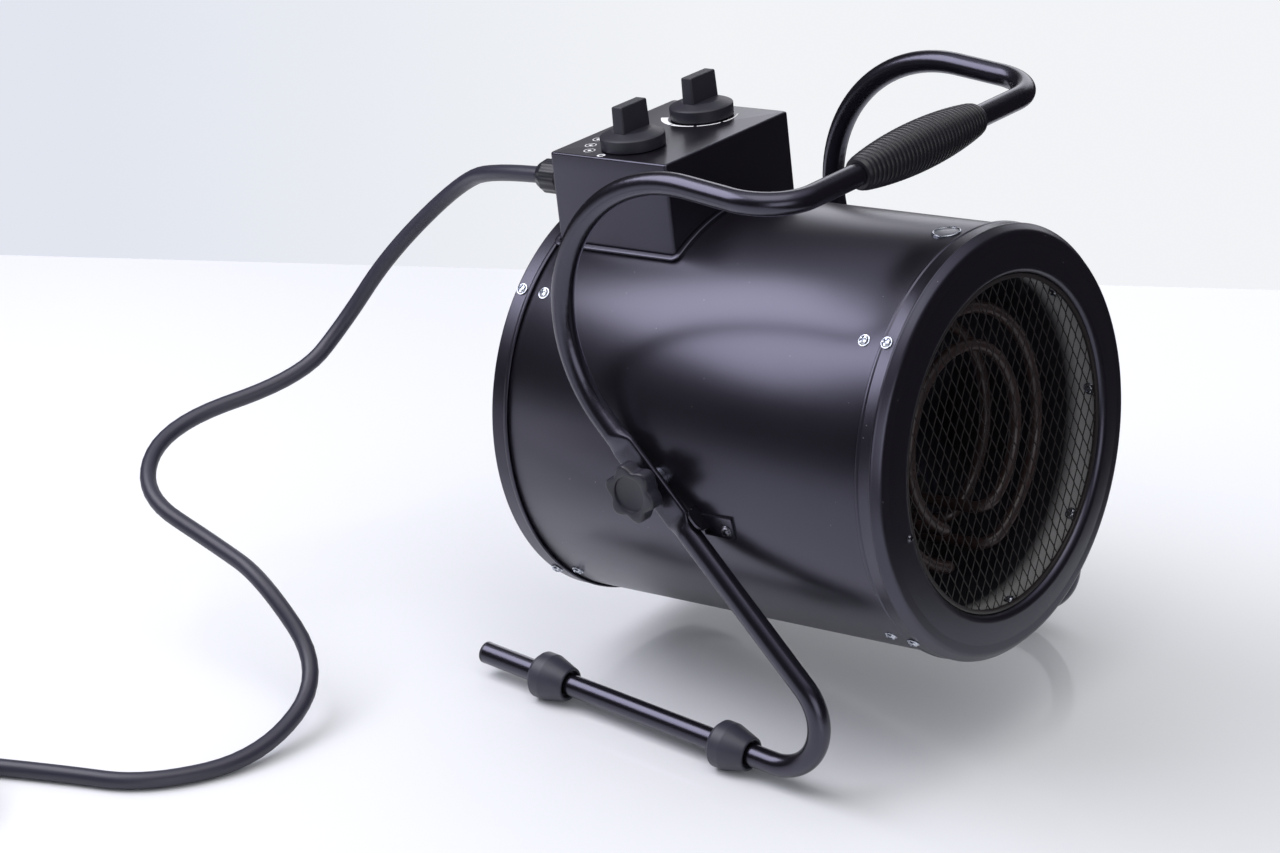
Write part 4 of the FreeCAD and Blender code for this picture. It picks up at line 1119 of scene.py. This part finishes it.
@dataclass
class Stand:
    """Bent tube with its flattened pivots, ribbed grip, rubber feet and end caps.

    Attributes:
        tube: Radius of the tube.
        arm: How far to either side the tube's line runs.
        slope: How steeply it rises, in radians.
        drop: How far below the tilt axis the feet's runs lie.
        rise: How far above it the handle lies.
        back: Rear end of the feet's runs.
        handle: How far forward the handle is.
        front_bend: Radius of the bend at the front of the feet's runs.
        top_bend: Radius of the bend into the handle's arms.
        corner_bend: Radius of the handle's corners.
        flat_half: How far from the pivot the tube is flat.
        flat_fade: Length over which it turns round again.
        flat_high: Height of the flat section.
        flat_wall: Thickness of the flat section.
        grip_half: Half of the grip's length.
        ribs: Number of ribs on the grip.
        rear_foot: Place of the rear feet along their runs.
        front_foot: Place of the front feet.
        step: Distance between two points of the tube's line.
        sides: Points round the tube.
        grip_end: Radius of the grip at its ends.
        grip_swell: How much more it is in the middle.
        rib_high: Height of a rib.
        pressed: Height, from the tube's line, of the feet's flat underside.
    """

    tube: float = 0.008
    arm: float = 0.156
    slope: float = math.radians(41.0)
    drop: float = 0.1805
    rise: float = 0.221
    back: float = 0.151
    handle: float = 0.104
    front_bend: float = 0.038
    top_bend: float = 0.1065
    corner_bend: float = 0.0375
    flat_half: float = 0.030
    flat_fade: float = 0.012
    flat_high: float = 0.022
    flat_wall: float = 0.006
    grip_half: float = 0.069
    ribs: int = 33
    rear_foot: float = -0.088
    front_foot: float = 0.073
    step: float = 0.0016
    sides: int = 40
    grip_end: float = 0.0104
    grip_swell: float = 0.0060
    rib_high: float = 0.0011
    pressed: float = -0.0166

    def half_path(self, side: float) -> np.ndarray:
        """Middle line of one side: straight runs and arcs from the foot's end to the handle's middle.

        Args:
            side: -1 for the left side, 1 for the right.

        Returns:
            The line's points.
        """
        reach = 1.0 / math.tan(self.slope)
        corners = [(-self.back, -self.drop), (self.drop * reach, -self.drop),
                   (-self.rise * reach, self.rise), (self.handle, self.rise)]
        flat = rounded(corners, [self.front_bend, self.top_bend], 40)
        arm = side * self.arm
        upright = np.stack([flat[:, 0], np.full(len(flat), arm), flat[:, 1]], axis=-1)
        corner = rounded([(-self.back, arm), (self.handle, arm), (self.handle, 0.0)],
                         [self.corner_bend], 24)[1:]
        level = np.concatenate([corner, np.full((len(corner), 1), self.rise)], axis=1)
        return np.concatenate([upright[:-1], level])

    @staticmethod
    def spread(path: np.ndarray, step: float) -> np.ndarray:
        """The same line with points at even distances, by linear interpolation on its length.

        Args:
            path: Points of the line.
            step: The distance.

        Returns:
            The new points.
        """
        length = np.concatenate([[0.0], np.cumsum(np.linalg.norm(np.diff(path, axis=0), axis=1))])
        even = np.linspace(0.0, length[-1], int(length[-1] / step))
        return np.stack([np.interp(even, length, path[:, axis]) for axis in range(3)], axis=-1)

    def pipe(self) -> Patch:
        """Whole tube: a circle that turns into a flat oval near each pivot. Across is level and square to
        the line, or the drum's Y where the line is in an upright plane; a smooth step s squared times
        (3 minus 2s) of the distance from the pivot blends the two outlines.

        Returns:
            The tube.
        """
        left, right = self.half_path(-1.0), self.half_path(1.0)
        path = self.spread(np.concatenate([left, right[::-1][1:]]), self.step)
        along = unit(np.gradient(path, axis=0))
        level = np.cross([0.0, 0.0, 1.0], along)
        upright = np.abs(along[:, 1]) < 1e-3
        facing = np.where(upright[:, None], [0.0, 1.0, 0.0], unit(level + 1e-9))
        facing *= np.where(upright & (path[:, 1] > 0), -1.0, 1.0)[:, None]
        above = np.cross(along, facing)
        away = np.hypot(path[:, 0], path[:, 2])
        share = np.clip((away - self.flat_half) / self.flat_fade, 0.0, 1.0)
        eased = share * share * (3.0 - 2.0 * share)
        share = np.where(np.abs(path[:, 1]) > self.arm - 0.01, eased, 1.0)[:, None]
        circle = ring(self.tube, self.sides)
        cosine, sine = ring(1.0, self.sides).T
        oval = np.stack([0.5 * self.flat_wall * np.sign(cosine) * np.abs(cosine) ** 0.35,
                         0.5 * self.flat_high * np.sign(sine) * np.abs(sine) ** 0.85], axis=-1)
        section = circle * share[..., None] + oval * (1.0 - share[..., None])
        return sweep(path, section, facing, above).moved(STAND.matrix())

    def grip(self) -> Patch:
        """Ribbed sleeve: a spindle-shaped body whose radius carries a rounded saw of evenly spaced ribs,
        with a plain collar at each end.

        Returns:
            The sleeve.
        """
        along = np.linspace(-self.grip_half, self.grip_half, self.ribs * 14 + 1)
        share = along / self.grip_half
        body = self.grip_end + self.grip_swell * (1.0 - share ** 2) ** 0.9
        wave = np.abs(np.sin(np.pi * self.ribs * (share + 1.0) / 2.0)) ** 0.6
        ease = np.clip((1.0 - np.abs(share)) / 0.05, 0.0, 1.0)
        radius = body - 0.0003 + self.rib_high * wave * ease
        bore = self.tube + 0.0001
        outline = np.concatenate([[[-self.grip_half, bore]], np.stack([along, radius], axis=-1),
                                  [[self.grip_half, bore]]])
        spot = STAND.at(self.handle, 0.0, self.rise)
        return lathe(outline, 72).moved(ON_RIGHT).moved(spot.matrix())

    def foot(self) -> Patch:
        """Rubber bush: a lip, a round-edged barrel, a cone and a small ring where it meets the tube; what
        lies under the floor's height is pressed flat.

        Returns:
            The bush, about the tube's line.
        """
        bore = self.tube + 0.0001
        outline = [(-0.0145, bore), (-0.0145, 0.0140), (-0.0132, 0.0150), (-0.0112, 0.0170),
                   (-0.0028, 0.0170), (0.0138, 0.0122), (0.0145, 0.0117), (0.0145, 0.0102),
                   (0.0100, 0.0099), (0.0100, bore)]
        radii = [0.0006, 0.0006, 0.0012, 0.0022, 0.0012, 0.0005, 0.0004, 0.0002]
        shape = lathe(rounded(outline, radii, 4))
        shape.points[:, 2] = np.maximum(shape.points[:, 2], self.pressed)
        return shape

    def cap(self) -> Patch:
        """Plastic plug with an eased edge in the tube's end."""
        outline = [(-0.0025, 0.0), (-0.0025, 0.0079), (0.0, 0.0081), (0.0004, 0.0070)]
        return lathe(rounded(outline, [0.0012, 0.0003], 5), 48)

    def dress(self) -> None:
        """Make the tube, grip, feet and caps."""
        settle(build("bent_tube", self.pipe(), Finishes.TUBE, crisp=60.0),
               "stand", "case_paint", "left_stand_tube", "right_stand_tube")
        settle(build("ribbed_grip", self.grip(), Finishes.GRIP, crisp=60.0), "stand", "rubber", "handle_grip")
        for name, side in (("left", -1.0), ("right", 1.0)):
            for end, x in (("rear", self.rear_foot), ("front", self.front_foot)):
                spot = STAND.at(x, side * self.arm, -self.drop).matrix()
                settle(build(f"{name}_{end}_bush", self.foot().moved(spot), Finishes.FOOT),
                       "stand", "rubber", f"{name}_{end}_foot")
            spot = STAND.at(-self.back, side * self.arm, -self.drop).matrix()
            settle(build(f"{name}_end_plug", self.cap().moved(spot), Finishes.STAR),
                   "stand", "knob_plastic", f"{name}_tube_cap")


@dataclass
class StarKnob:
    """Clamping knob: a neck, a head of six pointed lobes with hollow sides, and a round recess.

    Attributes:
        neck: Radius of the neck.
        reach: Radius at the tip of a lobe.
        waist: Radius between two lobes.
        lobes: Number of lobes.
        start: Where the neck begins, sideways from the drum's axis.
        head: Where the head begins.
        face: Where the head ends.
        phase: How far the lobes are turned, in radians of their wave.
        hollow: Power that hollows the lobes' sides.
        facets: Points round the knob.
    """

    neck: float = 0.0088
    reach: float = 0.0210
    waist: float = 0.0168
    lobes: int = 6
    start: float = 0.1593
    head: float = 0.1683
    face: float = 0.1803
    phase: float = 0.35
    hollow: float = 1.8
    facets: int = 288

    def shape(self) -> Patch:
        """Rows from the neck to the middle of the recess. Along a row the radius runs from the waist
        to the lobe's tip as the cosine of the lobes' angle raised to a power, which hollows the sides.

        Returns:
            The knob, about X.
        """
        turn = turns(self.facets)
        peak = np.abs(np.cos(0.5 * self.lobes * turn + self.phase)) ** self.hollow
        lobed = self.waist + (self.reach - self.waist) * peak
        low, high = self.head, self.face
        plain = [(self.start, self.neck), (low - 0.0006, self.neck)]
        head = [(low - 0.0001, 0.93), (low + 0.0008, 0.985), (low + 0.0020, 1.0), (high - 0.0024, 1.0),
                (high - 0.0009, 0.985), (high - 0.0002, 0.94), (high, 0.89)]
        recess = [(high, 0.0132), (high - 0.0004, 0.0126), (high - 0.0020, 0.0123), (high - 0.0022, 0.0119),
                  (high - 0.0022, 0.0)]
        rows = [about_x(x, radius + 0.0 * turn, turn) for x, radius in plain]
        rows += [about_x(x, lobed * share, turn) for x, share in head]
        rows += [about_x(x, radius + 0.0 * turn, turn) for x, radius in recess]
        return Patch.grid(np.stack(rows), wrap_columns=True)

    def dress(self) -> None:
        """Make both knobs."""
        for name, side in (("left", ON_LEFT), ("right", ON_RIGHT)):
            patch = self.shape().moved(side).moved(STAND.matrix())
            settle(build(f"{name}_star_grip", patch, Finishes.STAR, crisp=40.0),
                   f"{name}_clamp", "knob_plastic", f"{name}_star_knob")


@dataclass
class PanScrews:
    """Pan-head screws with a cross recess, round the drum and inside its mouth.

    Attributes:
        head: Radius of a head.
        rise: Height of a head.
        slot_half: Half of the recess's width.
        slot_reach: Half of its length.
        scatter: Radians of a head's own turn for each degree round the drum.
        quarters: Angles of a row's screws from Z, in degrees.
        case_rows: Place along the drum and seat radius of each row of the case and collars.
        shield_row: The same of the row inside the mouth.
        lug_row: The same of the pair on the stop lugs.
        lug_turn: Angle of that pair from Z, in degrees.
        face_seat: Place along the drum of the front collar's screw, and its distance from the axis.
        face_turn: How far below the left side it is, in radians.
        face_share: Its size, as a share of the others'.
    """

    head: float = 0.0044
    rise: float = 0.0024
    slot_half: float = 0.0007
    slot_reach: float = 0.0024
    scatter: float = 37.0
    quarters: tuple[float, ...] = (45.0, 135.0, 225.0, 315.0)
    case_rows: tuple[tuple[float, float], ...] = (
        (0.153, 0.1482), (0.172, 0.1500), (-0.123, 0.1482), (-0.142, 0.1500))
    shield_row: tuple[float, float] = (0.178, 0.1159)
    lug_row: tuple[float, float] = (0.0545, 0.1503)
    lug_turn: float = 90.0 + 11.4
    face_seat: tuple[float, float] = (0.1880, 0.1235)
    face_turn: float = math.radians(10.6)
    face_share: float = 0.68

    def shape(self) -> Patch:
        """Head about Z: rim, dome, and a cross whose edge at an angle is the nearer of the slot's end and
        its side, that is reach over the cosine and half width over the sine.

        Returns:
            The head, standing on the plane where Z is 0.
        """
        turn = turns(48)
        folded = np.pi / 4 - np.abs((turn % (np.pi / 2)) - np.pi / 4)
        cross = np.minimum(self.slot_reach / np.cos(folded),
                           self.slot_half / np.maximum(np.sin(folded), 1e-3))
        whole = self.head * np.ones_like(turn)
        rows = [(whole, 0.0), (whole, 0.22), (0.96 * whole, 0.32), (0.80 * whole, 0.33),
                (0.77 * whole, 0.42), (0.74 * whole, 0.66), (0.66 * whole, 0.88), (cross, 1.0),
                (cross * 0.92, 0.35), (cross * 0.0, 0.3)]
        grid = [about_z(size, self.rise * height, turn) for size, height in rows]
        return Patch.grid(np.stack(grid), wrap_columns=True)

    def placed(self, x: float, degrees: float, seat: float, inward: bool = False) -> Patch:
        """One head on a cylinder about the drum's axis; how far it was driven turns with its place.

        Args:
            x: Distance along the drum.
            degrees: Angle round it from Z.
            seat: Radius that the head stands on.
            inward: Whether it stands on the inside.

        Returns:
            The head.
        """
        spin = Matrix.Rotation(math.radians(degrees), 4, "X") @ Matrix.Translation((x, 0.0, seat))
        flip = Matrix.Rotation(math.pi, 4, "X") if inward else Matrix.Identity(4)
        own_turn = Matrix.Rotation(self.scatter * (x * 50.0 + degrees), 4, "Z")
        return self.shape().moved(np.array(spin @ flip @ own_turn))

    def dress(self) -> None:
        """Make the heads of the case, the heat shield, the stop lugs and the front collar's face."""
        case = [self.placed(x, turn, seat) for x, seat in self.case_rows for turn in self.quarters]
        x, seat = self.shield_row
        shield = [self.placed(x, 45.0 * step, seat, inward=True) for step in range(8)]
        x, seat = self.lug_row
        lugs = [self.placed(x, turn, seat) for turn in (self.lug_turn, -self.lug_turn)]
        for name, heads, finish, nodes in (
                ("case_screw_heads", case, Finishes.ZINC, ("case_screws",)),
                ("shield_screw_heads", shield, Finishes.ZINC, ("liner_screws",)),
                ("lug_screw_heads", lugs, Finishes.BLACK_ZINC, ("lug_screws",)),
                ("collar_screw_head", [self.on_face()], Finishes.BLACK_ZINC, ())):
            patch = Patch.merged(heads).moved(HEATER.matrix())
            settle(build(name, patch, finish), "heater", "zinc_steel", *nodes)

    def on_face(self) -> Patch:
        """Give the small head on the front collar's face, a little below the left side.

        Returns:
            The head.
        """
        seat, reach = self.face_seat
        spot = (seat, -reach * math.cos(self.face_turn), -reach * math.sin(self.face_turn))
        turned = Matrix.Rotation(0.5 * math.pi, 4, "Y") @ Matrix.Scale(self.face_share, 4)
        return self.shape().moved(np.array(Matrix.Translation(spot) @ turned))


@dataclass
class Badge:
    """Bare round badge on the drum behind the front collar: a dull thin disc in a bright raised rim.

    Attributes:
        along: Place along the drum.
        aside: How far it is from the drum's top line.
        seat: Radius that it stands on.
        foot: Height of its underside from the seat.
        face: Radius of the disc.
        rim: Radius of the rim.
    """

    along: float = 0.153
    aside: float = 0.004
    seat: float = 0.1482
    foot: float = -0.0006
    face: float = 0.0084
    rim: float = 0.0100

    def dress(self) -> None:
        """Make the disc and its rim."""
        disc = [(self.foot, 0.0), (self.foot, self.face), (0.0008, self.face), (0.0008, 0.0)]
        edge = [(self.foot, self.face), (self.foot, self.rim), (0.0010, self.rim), (0.0014, 0.0092),
                (0.0010, self.face), (self.foot, self.face)]
        spin = Matrix.Rotation(math.asin(self.aside / self.seat), 4, "X")
        spot = np.array(spin @ Matrix.Translation((self.along, 0.0, self.seat)))
        for name, outline, finish, nodes in (
                ("badge_face", rounded(disc, [0.0001, 0.0001], 2), Finishes.BADGE, ("round_badge",)),
                ("badge_rim", rounded(edge, [0.0001, 0.0004, 0.0004, 0.0003], 3), Finishes.ZINC, ())):
            patch = lathe(outline, 64).moved(ON_Z).moved(spot).moved(HEATER.matrix())
            settle(build(name, patch, finish), "heater", "bright_steel", *nodes)


@dataclass
class Cable:
    """Free cord: out of the gland, down in folds to the floor, twice round a coil and on to the plug.

    Attributes:
        radius: Radius of the jacket.
        coil_centre: Middle of the coil, on the floor.
        coil_radius: Radius of the coil.
        coil_start: Angle at which the coil begins, in radians.
        turns: Number of turns.
        floor: Height of the cord's line where it lies on the floor.
        lift: How much higher the coil ends.
        tail: Straight length between the coil and the plug.
        points_per_turn: Control points on a turn.
        sides: Points round the jacket.
        route: Control points from the gland to the coil.
    """

    radius: float = 0.0060
    coil_centre: tuple[float, float] = (-0.364, -0.566)
    coil_radius: float = 0.066
    coil_start: float = math.radians(116.8)
    turns: float = 2.0
    floor: float = 0.0063
    lift: float = 0.0272
    tail: float = 0.075
    points_per_turn: int = 24
    sides: int = 20
    route: tuple[tuple[float, float, float], ...] = (
        (-0.1694, -0.0500, 0.3493), (-0.2348, -0.0500, 0.3406), (-0.2950, -0.0220, 0.3090),
        (-0.3470, -0.0460, 0.2470), (-0.3770, -0.0650, 0.1900), (-0.3860, -0.1060, 0.1550),
        (-0.4400, -0.1980, 0.1340), (-0.4040, -0.2620, 0.1120), (-0.3310, -0.2560, 0.0900),
        (-0.2800, -0.2620, 0.0820), (-0.2130, -0.2700, 0.0300), (-0.1950, -0.3550, 0.0063),
        (-0.2320, -0.4300, 0.0063), (-0.2880, -0.4550, 0.0063), (-0.3430, -0.4830, 0.0063))

    def controls(self) -> np.ndarray:
        """Control points: the route, then the coil, whose height rises evenly with its angle, then the tail.

        Returns:
            The points.
        """
        steps = np.linspace(0.0, 1.0, int(self.turns * self.points_per_turn) + 1)
        turn = self.coil_start + steps * self.turns * 2.0 * np.pi
        coil = np.stack([self.coil_centre[0] + self.coil_radius * np.cos(turn),
                         self.coil_centre[1] + self.coil_radius * np.sin(turn),
                         self.floor + self.lift * steps], axis=-1)
        away = np.array([-math.sin(self.coil_start), math.cos(self.coil_start), 0.0])
        straight = coil[-1] + away * np.array([[0.3], [1.0]]) * self.tail
        return np.concatenate([np.array(self.route), coil, straight])

    def path(self) -> np.ndarray:
        """Follow the smooth line that the control points pull.

        Returns:
            The line's points.
        """
        curve = bpy.data.curves.new("cord_line", "CURVE")
        curve.dimensions = "3D"
        spline = curve.splines.new("NURBS")
        spots = self.controls()
        spline.points.add(len(spots) - 1)
        spline.points.foreach_set("co", np.concatenate([spots, np.ones((len(spots), 1))], axis=1).ravel())
        spline.order_u = 3
        spline.use_endpoint_u = True
        spline.resolution_u = 8
        carrier = bpy.data.objects.new("cord_line", curve)
        line = bpy.data.meshes.new_from_object(carrier)
        points = np.zeros(len(line.vertices) * 3)
        line.vertices.foreach_get("co", points)
        for store, item in ((bpy.data.objects, carrier), (bpy.data.curves, curve), (bpy.data.meshes, line)):
            store.remove(item)
        return points.reshape(-1, 3)

    def dress(self) -> None:
        """Make the jacket, hide the CAD cord's nodes and log the cord's length."""
        path = self.path()
        steps = np.linalg.norm(np.diff(path, axis=0), axis=1)
        patch = round_tube(path, self.radius, self.sides)
        length = float(steps.sum())
        travelled = np.concatenate([[0.0, 0.0], np.cumsum(steps), [length]])
        size = (len(travelled), self.sides)
        circle = np.broadcast_to(ring(1.0, self.sides), (*size, 2))
        chart = np.concatenate([circle, np.broadcast_to(travelled[:, None, None], (*size, 1))], axis=2)
        jacket = build("rubber_cord", patch, Finishes.CABLE, chart=chart)
        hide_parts("cord_upper", "cord_lower", "cord_coil", "cord_tail")
        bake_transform(jacket)
        LOG.info("rubber_cord: %.3f m", length)


PLAIN_NODES = {
    Finishes.INNER: ("motor_bracket", "terminal_block", "liner_brackets", "element_plate"),
    Finishes.SHEET: ("inner_liner",),
    Finishes.MESH: ("rear_guard",),
    Finishes.SHEATH: ("outer_element", "inner_element", "rear_element"),
    Finishes.MOTOR: ("motor",),
    Finishes.FAN: ("fan_wheel",),
    Finishes.ZINC: ("motor_shaft", "switch_spindle", "thermostat_spindle", "left_knob_stud",
                    "right_knob_stud", "safety_cutout", "left_pivot_nut", "right_pivot_nut"),
    Finishes.CERAMIC: ("rotary_switch", "thermostat"),
    Finishes.COPPER: ("thermostat_bulb", "capillary_tube"),
    Finishes.GLAND: ("gland_locknut", "plug_nut"),
    Finishes.TUBE: ("left_stop_lug", "right_stop_lug"),
    Finishes.PLUG_SHELL: ("plug_body",),
    Finishes.PLUG_COLLAR: ("plug_shroud",),
    Finishes.BRASS: ("plug_pins",),
}


def finish_plain_nodes() -> None:
    """Give each CAD node that stays visible its own finish."""
    for finish, names in PLAIN_NODES.items():
        for name in names:
            mesh = frame["nodes"][name].data
            mesh.materials.clear()
            mesh.materials.append(finish.material())


# ---------------------------------------------------------------- studio
@dataclass(frozen=True)
class Lamp:
    """Rectangular soft lamp: its place, the point that it faces, its size, power and colour."""

    name: str
    spot: Spot
    aim: Spot
    size: tuple[float, float]
    power: float
    colour: Colour

    def hang(self) -> None:
        """Put the lamp into the scene."""
        data = bpy.data.lights.new(self.name, "AREA")
        data.shape = "RECTANGLE"
        data.size, data.size_y = self.size
        data.energy, data.color = self.power, self.colour
        holder = bpy.data.objects.new(self.name, data)
        holder.location = self.spot
        holder.rotation_euler = (Vector(self.aim) - Vector(self.spot)).to_track_quat("-Z", "Y").to_euler()
        bpy.context.scene.collection.objects.link(holder)


@dataclass
class Studio:
    """Camera, pale floor, dim room and soft lamps.

    Attributes:
        lens: Focal length, in millimetres.
        sensor: Width of the sensor, in millimetres.
        eye: The camera's place.
        right: Direction to the right in its view.
        down: Direction downwards in its view.
        corners: Corners of the floor.
        ambient: Strength of the pale room on matt surfaces.
        dark: The dim room's colour.
        panel: Colour of the pale panel in the dim room.
        lamps: The lamps.
    """

    lens: float = 101.9
    sensor: float = 36.0
    eye: Spot = (1.37558, -1.88985, 1.25387)
    right: Spot = (0.78039672, 0.62527106, -0.00413115)
    down: Spot = (0.25706925, -0.32685509, -0.90944002)
    corners: tuple[tuple[float, float], ...] = (
        (-6.5, -6.0), (3.6456, -6.0), (0.0301, 0.9071), (-5.1, -2.55), (-6.5, -3.5))
    ambient: float = 0.82
    dark: Colour = (0.030, 0.027, 0.036)
    panel: Colour = (1.9, 1.9, 2.0)
    lamps: tuple[Lamp, ...] = (
        Lamp("key", (-1.0, -0.78, 1.55), (0.05, 0.0, 0.2), (1.6, 1.2), 28.5, (0.93, 0.92, 1.0)),
        Lamp("overhead", (0.35, -0.35, 2.2), (0.2, -0.2, 0.0), (1.5, 1.5), 12.5, (1.0, 0.98, 0.92)))

    def camera(self) -> None:
        """Camera from its place and its right and down directions."""
        data = bpy.data.cameras.new("camera")
        data.lens, data.sensor_width, data.clip_end = self.lens, self.sensor, 60.0
        holder = bpy.data.objects.new("camera", data)
        right, down = Vector(self.right).normalized(), Vector(self.down).normalized()
        turn = Matrix((right, -down, right.cross(-down))).transposed().to_4x4()
        holder.matrix_world = Matrix.Translation(self.eye) @ turn
        bpy.context.scene.collection.objects.link(holder)
        bpy.context.scene.camera = holder

    def floor(self) -> None:
        """Smooth pale table top whose far and right edges run a little behind and beside the heater."""
        sheet = bpy.data.meshes.new("floor")
        sheet.from_pydata([(*corner, 0.0) for corner in self.corners], [], [tuple(range(len(self.corners)))])
        floor = bpy.data.objects.new("floor", sheet)
        sheet.materials.append(Finish("floor_sheet", (0.775, 0.78, 0.80), 0.10, grain=4.0, relief=0.0,
                                      spread=0.01, specular=0.35).material())
        bpy.context.scene.collection.objects.link(floor)
        floor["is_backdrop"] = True

    def room(self) -> None:
        """World by the ray's kind: the camera and matt surfaces meet a pale room, and glossy surfaces meet
        a dim one with a pale panel low down behind the heater and a brighter ceiling."""
        world = bpy.data.worlds.new("room")
        world.use_nodes = True
        bpy.context.scene.world = world
        graph = Graph(world.node_tree)
        way = graph.add("ShaderNodeTexCoord", {}, {}, "Generated")
        x, y, height = (graph.add("ShaderNodeSeparateXYZ", {}, {0: way}, axis) for axis in "XYZ")
        across = x + y * 0.9
        lit_from = across.rising(0.02, 25.0) * 0.8 + across.rising(-0.30, 6.0) * 0.2
        lit = lit_from * across.falling(0.95, 3.0) * height.falling(0.50, 16.0) * (height * 30.0).clamped()
        dim = graph.ramp(height * 0.5 + 0.5, (0.0, self.dark), (0.80, self.dark),
                         (0.92, (0.70, 0.70, 0.80)), (1.0, (0.9, 0.9, 0.95)))
        studio = graph.blend(lit, dim, self.panel)
        side = ((x * 0.78 + y * 0.625 + 0.15) * 6.0).clamped()
        pale = graph.blend(side, (0.76, 0.79, 0.865), (0.885, 0.90, 0.925))
        glossy = graph.add("ShaderNodeLightPath", {}, {}, "Is Glossy Ray")
        seen = graph.add("ShaderNodeLightPath", {}, {}, "Is Camera Ray")
        strength = seen + (1.0 - seen) * (glossy + (1.0 - glossy) * self.ambient)
        light = graph.add("ShaderNodeBackground", {}, {"Color": graph.blend(glossy, pale, studio),
                                                       "Strength": strength})
        graph.add("ShaderNodeOutputWorld", {}, {"Surface": light})

    def build(self) -> None:
        """Set the whole studio."""
        self.camera()
        self.floor()
        self.room()
        for lamp in self.lamps:
            lamp.hang()
        bpy.context.scene.view_settings.view_transform = "Standard"


def main() -> None:
    """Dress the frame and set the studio."""
    logging.basicConfig(level=logging.INFO, format="%(name)s: %(message)s")
    Drum().dress()
    ControlBox().dress()
    Stand().dress()
    StarKnob().dress()
    PanScrews().dress()
    Badge().dress()
    Cable().dress()
    finish_plain_nodes()
    Studio().build()
    [[list(corner) for corner in box] for box in (CAD_BOX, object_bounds())]


if __name__ == "__main__":
    main()
